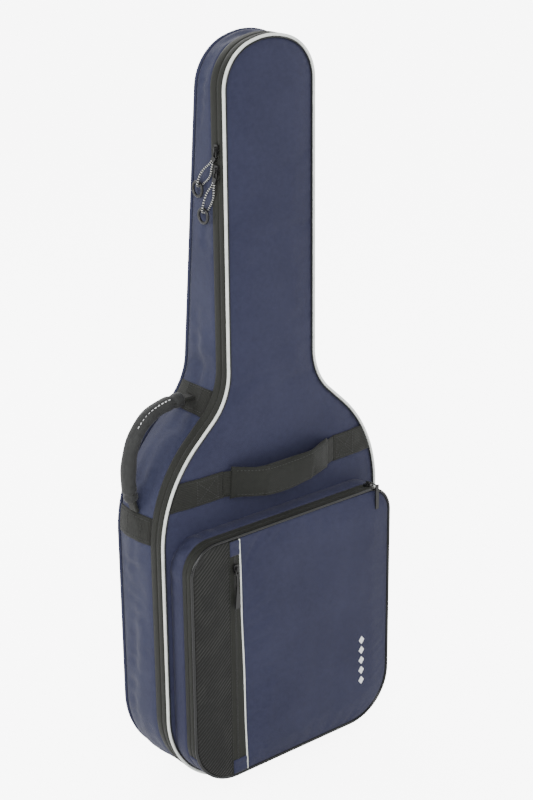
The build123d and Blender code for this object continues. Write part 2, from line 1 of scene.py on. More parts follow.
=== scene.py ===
import bmesh
import bpy
import math
import numpy as np
from mathutils import Matrix, Vector, noise


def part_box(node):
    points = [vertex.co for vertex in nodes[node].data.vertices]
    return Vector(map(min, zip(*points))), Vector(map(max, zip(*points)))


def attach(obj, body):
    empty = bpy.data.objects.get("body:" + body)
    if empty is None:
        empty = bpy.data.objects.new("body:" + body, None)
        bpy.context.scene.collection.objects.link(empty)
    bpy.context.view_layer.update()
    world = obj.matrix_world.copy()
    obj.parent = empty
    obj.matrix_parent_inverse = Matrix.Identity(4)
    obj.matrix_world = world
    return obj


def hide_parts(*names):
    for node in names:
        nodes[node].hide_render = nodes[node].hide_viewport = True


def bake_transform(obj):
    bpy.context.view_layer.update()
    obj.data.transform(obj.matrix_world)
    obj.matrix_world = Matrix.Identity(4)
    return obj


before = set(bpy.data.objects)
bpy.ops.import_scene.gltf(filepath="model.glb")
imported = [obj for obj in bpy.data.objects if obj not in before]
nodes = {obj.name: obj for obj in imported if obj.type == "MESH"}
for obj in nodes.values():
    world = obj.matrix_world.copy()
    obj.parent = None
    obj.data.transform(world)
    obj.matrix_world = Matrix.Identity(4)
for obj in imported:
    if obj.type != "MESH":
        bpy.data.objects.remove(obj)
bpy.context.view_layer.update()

scene = bpy.context.scene


# camera, light and floor

camera = {"azimuth": -39.13, "elevation": 20.94, "roll": -0.57, "distance": 2.39,
          "aim": (-0.01, -0.05, 0.56), "lens": 79.58}


def makeCamera(c):
    a, e, r = (math.radians(c[k]) for k in ("azimuth", "elevation", "roll"))
    back = Vector((math.sin(a) * math.cos(e), -math.cos(a) * math.cos(e), math.sin(e)))
    right = Vector((math.cos(a), math.sin(a), 0))
    up = back.cross(right)
    right, up = right * math.cos(r) + up * math.sin(r), up * math.cos(r) - right * math.sin(r)
    data = bpy.data.cameras.new("camera")
    data.lens = c["lens"]
    data.sensor_width = 36
    data.clip_end = 50
    obj = bpy.data.objects.new("camera", data)
    scene.collection.objects.link(obj)
    place = Vector(c["aim"]) + back * c["distance"]
    rows = [(right[i], up[i], back[i], place[i]) for i in range(3)]
    obj.matrix_world = Matrix(rows + [(0, 0, 0, 1)])
    scene.camera = obj


light = {"world": 1.0, "backdrop": 9.0, "floorWidth": 14.0, "floorGlow": 7.0,
         "boxes": [((-1.9, -2.1, 2.1), 2.0, 58), ((2.2, -1.4, 1.6), 1.8, 14), ((0.3, 1.9, 2.2), 1.8, 30),
                   ((-2.4, 1.2, 1.3), 1.0, 20)]}  # place, width, watts


def makeLight(c):
    world = bpy.data.worlds.new("studio")
    world.use_nodes = True
    tree = world.node_tree
    tree.nodes["Background"].inputs["Color"].default_value = (1, 1, 1, 1)
    seen = tree.nodes.new("ShaderNodeLightPath").outputs["Is Camera Ray"]
    ramp = tree.nodes.new("ShaderNodeMapRange")
    tree.links.new(seen, ramp.inputs["Value"])
    ramp.inputs["To Min"].default_value = c["world"]
    ramp.inputs["To Max"].default_value = c["backdrop"]
    tree.links.new(ramp.outputs[0], tree.nodes["Background"].inputs["Strength"])
    scene.world = world
    for i, (place, width, watts) in enumerate(c["boxes"]):
        data = bpy.data.lights.new(f"softbox{i}", "AREA")
        data.shape = "DISK"
        data.size = width
        data.energy = watts
        lamp = bpy.data.objects.new(f"softbox{i}", data)
        lamp.location = place
        lamp.rotation_euler = (Vector(place) - Vector((0, 0, 0.5))).to_track_quat("Z", "Y").to_euler()
        scene.collection.objects.link(lamp)


# shader helper

class Socket:
    # a node's output that takes part in sums

    def __init__(self, shade, out):
        self.shade, self.out = shade, out

    def calc(self, operation, *values):
        return self.shade.add("ShaderNodeMath", {"operation": operation}, values)

    def __add__(self, b):
        return self.calc("ADD", self, b)

    def __radd__(self, b):
        return self.calc("ADD", b, self)

    def __mul__(self, b):
        return self.calc("MULTIPLY", self, b)

    def __rmul__(self, b):
        return self.calc("MULTIPLY", b, self)

    def __sub__(self, b):
        return self.calc("SUBTRACT", self, b)

    def __rsub__(self, b):
        return self.calc("SUBTRACT", b, self)

    def __truediv__(self, b):
        return self.calc("DIVIDE", self, b)

    def wave(self):
        # a smooth wave from 0 to 1, once for each whole step of this value
        return self.calc("SINE", self * (2 * math.pi)) * 0.5 + 0.5

    def clamp(self):
        return self.shade.add("ShaderNodeClamp", {}, (self,))

    def step(self, low, high):
        return self.shade.add("ShaderNodeMapRange", {"interpolation_type": "SMOOTHSTEP"}, (self, low, high))


class Shade:
    # a material under construction; what is the same all over is set on the shader's own sockets

    def __init__(self, name, **fixed):
        self.material = bpy.data.materials.new(name)
        self.material.use_nodes = True
        self.tree = self.material.node_tree
        self.shader = self.tree.nodes["Principled BSDF"]
        for key, value in fixed.items():
            self.shader.inputs[key.replace("_", " ")].default_value = value

    def add(self, kind, settings, values, output=0):
        node = self.tree.nodes.new(kind)
        for key, value in settings.items():
            setattr(node, key, value)
        pairs = values.items() if isinstance(values, dict) else enumerate(values)
        for key, value in pairs:
            self.feed(node.inputs[key], value)
        return Socket(self, node.outputs[output])

    def feed(self, socket, value):
        if isinstance(value, Socket):
            self.tree.links.new(value.out, socket)
        elif value is not None:
            socket.default_value = value

    def put(self, name, value):
        self.feed(self.shader.inputs[name], value)

    def place(self, kind="UV"):
        return self.add("ShaderNodeTexCoord", {}, (), kind)

    def split(self, vector):
        node = self.tree.nodes.new("ShaderNodeSeparateXYZ")
        self.tree.links.new(vector.out, node.inputs[0])
        return [Socket(self, out) for out in node.outputs]

    def noise(self, vector, scale, detail=2.0, rough=0.5):
        return self.add("ShaderNodeTexNoise", {}, {"Vector": vector, "Scale": scale, "Detail": detail,
                                                   "Roughness": rough})

    def mix(self, factor, a, b):
        node = self.tree.nodes.new("ShaderNodeMix")
        node.data_type = "RGBA"
        for key, value in ((0, factor), (6, a), (7, b)):
            if isinstance(value, tuple):
                value = (*value, 1.0)
            self.feed(node.inputs[key], value)
        return Socket(self, node.outputs[2])

    def bump(self, height, strength, distance):
        values = {"Strength": strength, "Distance": distance, "Height": height}
        self.put("Normal", self.add("ShaderNodeBump", {}, values))

    def weave(self, u, v, pitch):
        # height of a plain weave whose threads are a pitch apart, and which of the two threads is on top
        a, b = u / pitch, v / pitch
        check = (a.calc("FLOOR", a) + b.calc("FLOOR", b)) * 0.5
        over = check.calc("FRACT", check) * 2
        warp = a.calc("ABSOLUTE", a.calc("SINE", a * math.pi))
        weft = b.calc("ABSOLUTE", b.calc("SINE", b * math.pi))
        return warp * over + weft * (1 - over), over


# materials

def clothShade(name, dark, pale, pitch, roughness, sheen, relief, coords="UV"):
    s = Shade(name, Sheen_Weight=sheen, Sheen_Roughness=0.45, Specular_IOR_Level=0.22)
    where = s.place(coords)
    parts = s.split(where)
    u, v = (parts[0], parts[2]) if coords == "Object" else (parts[0], parts[1])
    thread, over = s.weave(u, v, pitch)
    solid = s.place("Object")
    cloud = s.noise(solid, 9, 3)
    mottle = s.noise(solid, 160, 3, 0.65)
    fleck = s.noise(where, 1.1 / pitch, 1)
    tone = (cloud * 0.35 + mottle * 0.3 + fleck * 0.25 + over * 0.1).step(0.3, 0.72)
    s.put("Base Color", s.mix(tone, dark, pale))
    s.put("Roughness", (roughness + (mottle - 0.5) * 0.16).clamp())
    s.bump(thread * 0.8 + fleck * 0.5, relief, pitch * 0.45)
    return s.material


def bandShade(name, dark, pale, pitch, roughness, relief):
    # webbing or zip tape: fine ribs along the band and a soft worn sheen
    s = Shade(name, Sheen_Weight=0.05, Sheen_Roughness=0.5, Specular_IOR_Level=0.22)
    along, across, depth = s.split(s.place("UV"))
    rib = (across / pitch).wave()
    weft = ((along / (pitch * 0.7)) + (across / (pitch * 2)).wave() * 0.5).wave()
    solid = s.place("Object")
    mottle = s.noise(solid, 220, 3, 0.6)
    cloud = s.noise(solid, 14, 2)
    tone = (rib * 0.25 + weft * 0.15 + mottle * 0.35 + cloud * 0.35).step(0.25, 0.85)
    s.put("Base Color", s.mix(tone, dark, pale))
    s.put("Roughness", (roughness + (mottle - 0.5) * 0.2).clamp())
    s.bump(rib * 0.6 + weft * 0.4, relief, pitch * 0.4)
    return s.material


def smoothShade(name, dark, pale, roughness, grain, relief, coat=0.0, metal=0.0):
    # moulded, rubbery, metal or coated finishes, with fine grain and handling marks
    s = Shade(name, Coat_Roughness=0.25, Metallic=metal, Coat_Weight=coat)
    solid = s.place("Object")
    fine = s.noise(solid, grain, 3, 0.6)
    broad = s.noise(solid, 30, 3)
    s.put("Base Color", s.mix((fine * 0.5 + broad * 0.5).step(0.3, 0.75), dark, pale))
    s.put("Roughness", (roughness + (broad - 0.5) * 0.2 + (fine - 0.5) * 0.08).clamp())
    s.bump(fine, relief, 0.0004)
    return s.material


def ribShade(name, dark, pale):
    # coated fabric with slanted ribs: crests are painted paler as a highlight and the valleys darker as
    # shade, in broken runs
    s = Shade(name, Sheen_Weight=0.05, Specular_IOR_Level=0.3)
    solid = s.place("Object")
    x, depth, z = s.split(solid)
    crest = ((z - x * pocket["ribLean"]) / pocket["ribPitch"]).wave()
    broken = s.noise(solid, 34, 3).step(0.42, 0.62)
    fine = s.noise(solid, 700, 2)
    # painted light: rib crests paler as a painted highlight, valleys darker as painted shade
    paintedCrestLight = crest.step(0.45, 1.0) * (broken * 0.8 + 0.2)
    s.put("Base Color", s.mix((paintedCrestLight + fine * 0.15).clamp(), dark, pale))
    s.put("Roughness", (0.62 - crest * 0.18 + (fine - 0.5) * 0.1).clamp())
    s.bump(crest * 0.6 + fine * 0.3, 0.4, 0.0006)
    return s.material


def pipingShade(name, dark, pale, roughness, coat, shine=0.5):
    # plastic-coated cord covering with faint cross creases and grubby patches
    s = Shade(name, Coat_Roughness=0.3, Coat_Weight=coat, Specular_IOR_Level=shine)
    along, across, depth = s.split(s.place("UV"))
    solid = s.place("Object")
    grime = s.noise(solid, 55, 4, 0.65)
    crease = ((along / 0.0023) + s.noise(solid, 90, 2) * 1.5).wave()
    s.put("Base Color", s.mix(grime.step(0.25, 0.7), dark, pale))
    s.put("Roughness", (roughness + (grime - 0.5) * 0.25).clamp())
    s.bump(crease * 0.35 + grime * 0.5, 0.25, 0.0005)
    return s.material


def fleckShade(name, dark, pale):
    # braided cord: dark strands with pale tracers that spiral along it
    s = Shade(name, Sheen_Weight=0.2, Specular_IOR_Level=0.3, Roughness=0.7)
    u, v, depth = s.split(s.place("UV"))
    left = (u * 520 + v * 1.0).wave()
    right = (u * 520 - v * 1.0).wave()
    strand = left.calc("MAXIMUM", left, right)
    stray = s.noise(s.place("Object"), 700, 2)
    tracer = ((u * 270 + v * 1.0).wave() * (u * 270 - v * 2.0).wave() + (stray - 0.5) * 0.9).step(0.50, 0.60)
    s.put("Base Color", s.mix(tracer, dark, pale))
    s.bump(strand, 0.6, 0.0005)
    return s.material


webbingDark = (0.0080, 0.0084, 0.0072)
blueTones = (0.0164, 0.0180, 0.0440), (0.0328, 0.0356, 0.0736)

# name, dark tone, pale tone, thread pitch, roughness, sheen, relief
cloths = {
    "blue": ("blue_polyester", *blueTones, 0.0011, 0.66, 0.07, 0.32),
    # a paler copy of the blue polyester: painted light, the side wall's lit look from the left put into its
    # colour; also used for the hinge fold and back piping
    "bluePaintedLighter": ("blue_polyester_wall", (0.0175, 0.0200, 0.0480), (0.0390, 0.0435, 0.0860), 0.0011, 0.62, 0.1,
                 0.32),
    "blueFlat": ("blue_polyester_strap", *blueTones, 0.0011, 0.66, 0.07, 0.32, "Object"),
    "webbingFlat": ("black_webbing_strap", webbingDark, (0.0184, 0.0192, 0.0160), 0.0022, 0.68, 0.06, 0.5,
                    "Object"),
    "lining": ("black_lining", (0.0048, 0.0048, 0.0052), (0.0112, 0.0112, 0.0120), 0.0008, 0.72, 0.08, 0.25),
    "grip": ("grip_fabric", (0.0160, 0.0165, 0.0165), (0.0440, 0.0455, 0.0450), 0.0013, 0.48, 0.10, 0.35),
    "sleeve": ("sleeve_fabric", (0.0096, 0.0104, 0.0088), (0.0208, 0.0220, 0.0188), 0.0014, 0.68, 0.08, 0.35)}

# name, dark tone, pale tone, rib pitch, roughness, relief
bands = {
    "zipBand": ("zip_tape", (0.0088, 0.0096, 0.0076), (0.0184, 0.0196, 0.0156), 0.0012, 0.6, 0.22),
    "webbing": ("black_webbing", webbingDark, (0.0224, 0.0232, 0.0196), 0.0024, 0.6, 0.5)}

# name, dark tone, pale tone, roughness, grain, relief, coat, metal
finishes = {
    "teeth": ("nylon_teeth", (0.0080, 0.0080, 0.0080), (0.0192, 0.0192, 0.0176), 0.4, 1500, 0.2, 0.2),
    "metal": ("dark_lacquered_metal", (0.0064, 0.0064, 0.0068), (0.0192, 0.0192, 0.0192), 0.34, 1800, 0.3,
              0.4, 0.3),
    "plastic": ("black_moulded_plastic", (0.0048, 0.0048, 0.0052), (0.0120, 0.0120, 0.0128), 0.42, 2200, 0.4),
    "rubber": ("ring_rubber", (0.0048, 0.0048, 0.0048), (0.0112, 0.0112, 0.0108), 0.36, 1300, 0.35, 0.2),
    "guard": ("wear_patch", (0.0080, 0.0080, 0.0088), (0.0192, 0.0192, 0.0200), 0.65, 700, 0.9),
    "protector": ("suede_protector", (0.0160, 0.0144, 0.0128), (0.0360, 0.0328, 0.0288), 0.9, 1100, 0.8),
    "thread": ("sewing_thread", (0.0160, 0.0168, 0.0160), (0.0400, 0.0408, 0.0392), 0.6, 2500, 0.4),
    "blueThread": ("blue_thread", (0.0320, 0.0368, 0.0720), (0.0720, 0.0800, 0.1360), 0.6, 2500, 0.4),
    "motif": ("printed_mark", (0.82, 0.83, 0.84), (0.93, 0.94, 0.94), 0.45, 900, 0.1)}


def makeMaterials():
    m = {}
    for table, maker in ((cloths, clothShade), (bands, bandShade), (finishes, smoothShade)):
        for key, values in table.items():
            m[key] = maker(*values)
    m["ribbed"] = ribShade("ribbed_panel", (0.0036, 0.0039, 0.0032), (0.0200, 0.0206, 0.0180))
    m["pale"] = pipingShade("cream_piping", (0.70, 0.74, 0.69), (0.90, 0.93, 0.89), 0.42, 0.15)
    m["dark"] = pipingShade("dark_piping", (0.002, 0.0022, 0.0024), (0.005, 0.0053, 0.0056), 0.15, 0.0, 0.55)
    m["cord"] = fleckShade("flecked_cord", (0.010, 0.010, 0.010), (0.62, 0.62, 0.60))
    s = Shade("paper_floor", Roughness=0.9, Emission_Strength=light["floorGlow"])
    s.put("Base Color", s.mix(s.noise(s.place("Object"), 3, 2), (0.90, 0.90, 0.90), (0.93, 0.93, 0.93)))
    seen = s.add("ShaderNodeLightPath", {}, (), "Is Camera Ray")
    s.put("Emission Color", s.mix(seen, (0.0, 0.0, 0.0), (1.0, 1.0, 1.0)))
    m["floor"] = s.material
    return m


# mesh helpers

def meshObject(name, points, faces, uvs, material):
    mesh = bpy.data.meshes.new(name)
    mesh.from_pydata([tuple(p) for p in points], [], faces)
    layer = mesh.uv_layers.new(name="UVMap")
    layer.data.foreach_set("uv", np.array(uvs, dtype=float).ravel())
    obj = bpy.data.objects.new(name, mesh)
    scene.collection.objects.link(obj)
    mesh.polygons.foreach_set("use_smooth", [True] * len(mesh.polygons))
    mesh.materials.append(material)
    faceOutwards(mesh)
    return obj


def faceOutwards(mesh):
    bm = bmesh.new()
    bm.from_mesh(mesh)
    bmesh.ops.recalc_face_normals(bm, faces=bm.faces)
    bm.to_mesh(mesh)
    bm.free()


def gridObject(name, grid, material, closedAlong=False, uv=None):
    # a skin through rows of closed sections; the first and last rows are capped where the rows don't close
    grid = np.asarray(grid, dtype=float)
    rows, cols = grid.shape[:2]
    points = grid.reshape(-1, 3)
    if uv is None:
        stepAlong = np.linalg.norm(np.roll(grid, -1, 0) - grid, axis=2).max(axis=1)
        stepAcross = np.linalg.norm(np.roll(grid, -1, 1) - grid, axis=2).mean(axis=0)
        along = np.concatenate([[0], np.cumsum(stepAlong)])
        across = np.concatenate([[0], np.cumsum(stepAcross)])
    faces, uvs = [], []
    lastRow = rows if closedAlong else rows - 1
    for i in range(lastRow):
        k = (i + 1) % rows
        for j in range(cols):
            n = (j + 1) % cols
            faces.append((i * cols + j, i * cols + n, k * cols + n, k * cols + j))
            if uv is None:
                uvs += [(along[i], across[j]), (along[i], across[j + 1]),
                        (along[i + 1], across[j + 1]), (along[i + 1], across[j])]
            else:
                uvs += [uv[i, j], uv[i, n], uv[k, n], uv[k, j]]
    if not closedAlong:
        for i in (0, rows - 1):
            half = cols // 2
            for j in range(half - 1):
                a, b = i * cols + j, i * cols + cols - 1 - j
                faces.append((a, a + 1, b - 1, b))
                uvs += [(grid[i, j, 0], grid[i, j, 2])] * 4
    return meshObject(name, points, faces, uvs, material)


def roundLoop(corners, step):
    # points, outward normals and distances along a closed outline of lines and arcs
    count = len(corners)
    arcs = []
    for i, (x, z, radius) in enumerate(corners):
        here = np.array([x, z])
        a = here - np.array(corners[i - 1][:2])
        b = np.array(corners[(i + 1) % count][:2]) - here
        a, b = a / np.linalg.norm(a), b / np.linalg.norm(b)
        turn = math.atan2(a[0] * b[1] - a[1] * b[0], a @ b)
        reach = radius * math.tan(abs(turn) / 2)
        arcs.append((here - a * reach, here + b * reach, a, turn, radius))
    points, normals = [], []
    for i, (start, end, d, turn, radius) in enumerate(arcs):
        side = np.array([-d[1], d[0]]) * math.copysign(1, turn)
        arm = -side * radius
        steps = max(3, int(abs(turn) * radius / step))
        for k in range(steps + 1):
            c, s = math.cos(turn * k / steps), math.sin(turn * k / steps)
            points.append(start - arm + np.array([c * arm[0] - s * arm[1], s * arm[0] + c * arm[1]]))
            normals.append(np.array([c * d[1] + s * d[0], s * d[1] - c * d[0]]))
        after = arcs[(i + 1) % count][0]
        steps = max(1, int(np.linalg.norm(after - end) / step))
        for k in range(1, steps):
            points.append(end + (after - end) * k / steps)
            normals.append(normals[-1])
    points, normals = np.array(points), np.array(normals)
    keep = np.linalg.norm(np.roll(points, -1, 0) - points, axis=1) > 1e-5
    points, normals = points[keep], normals[keep]
    gaps = np.linalg.norm(np.roll(points, -1, 0) - points, axis=1)
    return {"points": points, "normals": normals, "along": np.concatenate([[0], np.cumsum(gaps)])}


def edgeDistance(loop, x, z, inset=0.0):
    edge = loop["points"] - loop["normals"] * inset
    px, pz = np.ravel(x), np.ravel(z)
    best = np.full(px.shape, 9.0)
    for (ax, az), (bx, bz) in zip(edge, np.roll(edge, -1, 0)):
        ux, uz = bx - ax, bz - az
        t = np.clip(((px - ax) * ux + (pz - az) * uz) / (ux * ux + uz * uz + 1e-12), 0, 1)
        best = np.minimum(best, np.hypot(px - ax - t * ux, pz - az - t * uz))
    return best.reshape(np.shape(x))


def softNoise(points, size, seed):
    # smooth noise from about -1 to 1
    flat = np.reshape(points, (-1, 3)) / size + np.array([3.7, 1.3, 7.1]) * seed
    values = [noise.noise(Vector(p)) for p in flat]
    return np.array(values).reshape(np.shape(points)[:-1])


def smooth(t):
    t = np.clip(t, 0, 1)
    return t * t * (3 - 2 * t)


def panelRows(loop, inset, rows, cols):
    # x and z of a grid inside an outline that is the same on both sides of the middle
    edge = loop["points"] - loop["normals"] * inset
    half = edge[edge[:, 0] >= 0]
    half = half[np.argsort(half[:, 1], kind="stable")]
    zLow, zHigh = half[0, 1], half[-1, 1]
    t = np.linspace(0, 1, rows)
    ease = 0.5 - 0.5 * np.cos(np.pi * t)
    z = zLow + (zHigh - zLow) * (0.35 * t + 0.65 * ease)
    wide = np.interp(z, half[:, 1], half[:, 0])
    flat = half[np.abs(half[:, 1] - zLow) < 1e-5]
    if len(flat):
        wide[0] = flat[:, 0].max()
    wide = np.maximum(wide, 0.002)
    s = np.sin(np.linspace(-1, 1, cols) * np.pi / 2) * 0.6 + np.linspace(-1, 1, cols) * 0.4
    return wide[:, None] * s[None, :], np.repeat(z[:, None], cols, 1)


def panelObject(name, x, z, front, back, material):
    # a closed pad between two faces given over the same grid
    frontGrid = np.stack([x, front, z], 2)
    backGrid = np.stack([x, back, z], 2)[:, ::-1]
    grid = np.concatenate([frontGrid, backGrid], 1)
    return gridObject(name, grid, material, uv=np.stack([grid[:, :, 0], grid[:, :, 2]], 2))


def sweepLoop(name, loop, section, material, keep=None):
    # section(i, x, z) gives closed rows of (inset, y) round the outline; keep limits it to part of it
    points, normals = loop["points"], loop["normals"]
    grid = []
    for i, (p, n) in enumerate(zip(points, normals)):
        rows = section(i, p[0], p[1])
        grid.append([(p[0] - n[0] * a, y, p[1] - n[1] * a) for a, y in rows])
    grid = np.array(grid)
    if keep is None:
        return gridObject(name, grid, material, closedAlong=True)
    chosen = np.array([keep(p[0], p[1]) for p in points])
    start = next(i for i in range(len(points)) if chosen[i] and not chosen[i - 1])
    order = [(start + k) % len(points) for k in range(len(points))]
    order = [i for k, i in enumerate(order) if chosen[i] and all(chosen[j] for j in order[:k])]
    return gridObject(name, grid[order], material)


def roundSection(radius, inset, y, count=10):
    turns = [2 * math.pi * k / count for k in range(count)]
    return [(inset + radius * math.cos(t), y + radius * math.sin(t)) for t in turns]


def bandSection(outer, inner, yLow, yHigh, puff, count=6):
    # a thin band across Y that stands out by puff in its middle
    t = np.linspace(0, 1, count)
    outside = [(outer - puff * math.sin(math.pi * k) ** 0.7, yLow + (yHigh - yLow) * k) for k in t]
    inside = [(inner, yHigh - (yHigh - yLow) * k) for k in t]
    return outside + inside


def cordSection(radius, inset, y, count=10):
    # the same round section all the way along an outline
    return lambda i, x, z: roundSection(radius, inset, y, count)


def tapeSection(outer, inner, yLow, yHigh, puff, count=6):
    return lambda i, x, z: bandSection(outer, inner, yLow, yHigh, puff, count)


def outlineRing(loop, inset, y):
    return [(p[0] - n[0] * inset, y, p[1] - n[1] * inset) for p, n in zip(loop["points"], loop["normals"])]


def splinePath(points, resolution):
    # points along one smooth spline that has the given control points
    data = bpy.data.curves.new("path", "CURVE")
    data.dimensions = "3D"
    spline = data.splines.new("NURBS")
    spline.points.add(len(points) - 1)
    for control, place in zip(spline.points, points):
        control.co = (*place, 1)
    spline.order_u = 3
    spline.use_endpoint_u = True
    data.resolution_u = resolution
    obj = bpy.data.objects.new("path", data)
    scene.collection.objects.link(obj)
    bpy.context.view_layer.update()
    mesh = bpy.data.meshes.new_from_object(obj.evaluated_get(bpy.context.evaluated_depsgraph_get()))
    path = np.array([v.co[:] for v in mesh.vertices])
    bpy.data.objects.remove(obj)
    bpy.data.meshes.remove(mesh)
    return path


def pathFrames(path, side=None):
    # tangent and two side directions along a path; side fixes the first of the two
    path = np.asarray(path)
    tangent = np.gradient(path, axis=0)
    tangent /= np.linalg.norm(tangent, axis=1)[:, None]
    across = []
    last = np.array(side if side is not None else (0, 0, 1), dtype=float)
    for t in tangent:
        last = last - t * (last @ t)
        last = last / np.linalg.norm(last)
        across.append(last)
        if side is not None:
            last = np.array(side, dtype=float)
    across = np.array(across)
    return tangent, across, np.cross(tangent, across)


def sweepPath(name, path, profile, material, side=None):
    # profile(t) gives a closed section of (across, out) for the share t of the way along
    path = np.asarray(path)
    tangent, across, out = pathFrames(path, side)
    share = np.linspace(0, 1, len(path))
    grid = []
    for p, a, o, t in zip(path, across, out, share):
        grid.append([p + a * u + o * v for u, v in profile(t)])
    return gridObject(name, grid, material)


def roundProfile(radius, count):
    turns = [2 * math.pi * k / count for k in range(count)]
    return lambda t: [(radius(t) * math.cos(a), radius(t) * math.sin(a)) for a in turns]


def flatProfile(width, thick, count=9):
    # a strap's section with rounded edges
    def section(t):
        half, h = width / 2, thick / 2
        top = [(-half + width * k / (count - 1), h) for k in range(count)]
        top[0], top[-1] = (-half + h * 0.4, h * 0.7), (half - h * 0.4, h * 0.7)
        return top + [(half, 0)] + [(u, -v) for u, v in reversed(top)] + [(-half, 0)]
    return section


def alongTree():
    # sews or strings small rounded pieces along a path: stitches and zip teeth
    tree = bpy.data.node_groups.new("pieces_along_path", "GeometryNodeTree")
    face = tree.interface
    face.new_socket("Geometry", in_out="INPUT", socket_type="NodeSocketGeometry")
    for name, value in (("Spacing", 0.004), ("Length", 0.003), ("Width", 0.0008), ("Height", 0.0008)):
        socket = face.new_socket(name, in_out="INPUT", socket_type="NodeSocketFloat")
        socket.default_value = value
    face.new_socket("Lift", in_out="INPUT", socket_type="NodeSocketVector")
    face.new_socket("Material", in_out="INPUT", socket_type="NodeSocketMaterial")
    face.new_socket("Geometry", in_out="OUTPUT", socket_type="NodeSocketGeometry")

    def node(kind, links=None, **settings):
        n = tree.nodes.new(kind)
        for key, value in settings.items():
            setattr(n, key, value)
        for key, value in (links or {}).items():
            if isinstance(value, bpy.types.NodeSocket):
                tree.links.new(value, n.inputs[key])
            else:
                n.inputs[key].default_value = value
        return n

    given = node("NodeGroupInput").outputs
    curve = node("GeometryNodeMeshToCurve", {"Mesh": given["Geometry"]})
    points = node("GeometryNodeResampleCurve", {"Curve": curve.outputs[0], "Length": given["Spacing"]},
                  mode="LENGTH")
    bead = node("GeometryNodeMeshIcoSphere", {"Radius": 0.5, "Subdivisions": 2})
    size = node("ShaderNodeCombineXYZ", {"X": given["Width"], "Y": given["Height"], "Z": given["Length"]})
    tangent = node("GeometryNodeInputTangent")
    turn = node("FunctionNodeAlignRotationToVector", {"Vector": tangent.outputs[0]}, axis="Z")
    turn = node("FunctionNodeAlignRotationToVector", {"Rotation": turn.outputs[0], "Vector": given["Lift"]},
                axis="Y", pivot_axis="Z")
    copies = node("GeometryNodeInstanceOnPoints", {"Points": points.outputs[0], "Instance": bead.outputs[0],
                                                   "Rotation": turn.outputs[0], "Scale": size.outputs[0]})
    real = node("GeometryNodeRealizeInstances", {"Geometry": copies.outputs[0]})
    painted = node("GeometryNodeSetMaterial", {"Geometry": real.outputs[0], "Material": given["Material"]})
    out = node("NodeGroupOutput")
    tree.links.new(painted.outputs[0], out.inputs[0])
    return tree


def runTree(obj, tree, **inputs):
    # gives the object a tree, sets its named inputs, and leaves a plain mesh
    modifier = obj.modifiers.new("pieces", "NODES")
    modifier.node_group = tree
    for item in tree.interface.items_tree:
        if item.item_type == "SOCKET" and item.in_out == "INPUT" and item.name in inputs:
            modifier[item.identifier] = inputs[item.name]
    obj.update_tag()
    bpy.context.view_layer.update()
    result = bpy.data.meshes.new_from_object(obj.evaluated_get(bpy.context.evaluated_depsgraph_get()))
    obj.modifiers.remove(modifier)
    obj.data = result
    result.name = obj.name
    result.polygons.foreach_set("use_smooth", [True] * len(result.polygons))
    return obj


def alongPaths(name, paths, material, spacing, length, width, height=None, lift=(0, -1, 0), closed=False):
    points, edges = [], []
    for path in paths:
        start = len(points)
        points += [tuple(p) for p in path]
        edges += [(start + k, start + k + 1) for k in range(len(path) - 1)]
        if closed:
            edges.append((len(points) - 1, start))
    mesh = bpy.data.meshes.new(name)
    mesh.from_pydata(points, edges, [])
    obj = bpy.data.objects.new(name, mesh)
    scene.collection.objects.link(obj)
    return runTree(obj, trees["along"], Spacing=spacing, Length=length, Width=width, Height=height or width,
                   Lift=lift, Material=material)


fabric = {"quality": 6, "mass": 0.3, "stretch": 12, "bend": 0.6, "frames": 20}


def billow(obj, held, pressure, cap, slack):
    # a short cloth simulation that fills a pad between its held seams
    before = np.array([v.co[:] for v in obj.data.vertices])
    group = obj.vertex_groups.new(name="held")
    group.add([int(i) for i in np.flatnonzero(held)], 1.0, "REPLACE")
    cloth = obj.modifiers.new("cloth", "CLOTH")
    s = cloth.settings
    s.quality = fabric["quality"]
    s.mass = fabric["mass"]
    s.tension_stiffness = s.compression_stiffness = fabric["stretch"]
    s.bending_stiffness = fabric["bend"]
    s.shrink_min = -slack
    s.use_pressure = True
    s.uniform_pressure_force = pressure
    s.vertex_group_mass = "held"
    s.effector_weights.gravity = 0
    cloth.collision_settings.use_collision = False
    cloth.point_cache.frame_start = 1
    cloth.point_cache.frame_end = fabric["frames"]
    for f in range(1, fabric["frames"] + 1):
        scene.frame_set(f)
    shaped = obj.evaluated_get(bpy.context.evaluated_depsgraph_get()).data
    after = np.array([v.co[:] for v in shaped.vertices])
    move = after - before
    far = np.linalg.norm(move, axis=1)[:, None]
    move *= np.minimum(1, cap / np.maximum(far, 1e-9))
    obj.modifiers.remove(cloth)
    obj.vertex_groups.clear()
    obj.data.vertices.foreach_set("co", (before + move).ravel())
    obj.data.update()
    scene.frame_set(1)
    print("filled", obj.name, round(float(far.max()), 4))


def bake(obj):
    # leaves the object with the mesh that its modifiers make
    bpy.context.view_layer.update()
    obj.data = bpy.data.meshes.new_from_object(obj.evaluated_get(bpy.context.evaluated_depsgraph_get()))
    obj.modifiers.clear()


def finishPiece(obj, body, slot, *replaced, pad=None):
    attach(obj, body)
    if replaced:
        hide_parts(*replaced)
    return obj


# outline of the bag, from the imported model's boxes

wallLow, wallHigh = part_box("gusset_fabric")
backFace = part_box("back_panel_fabric")[1].y
bag = {"bottomRadius": 0.128, "shoulderStart": 0.384, "shoulderRadius": 0.195, "shoulderAngle": 47.0,
       "neckHalf": 0.075, "neckRootRadius": 0.088, "headRadius": 0.062, "headDrop": 0.022,
       "crownRadius": 0.095, "backBend": 0.538, "headDepth": 0.051, "seam": 0.0030,
       "hingeLow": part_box("hinge_strip")[0].z, "hingeHigh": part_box("hinge_strip")[1].z}
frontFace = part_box("front_panel_fabric")[0].y


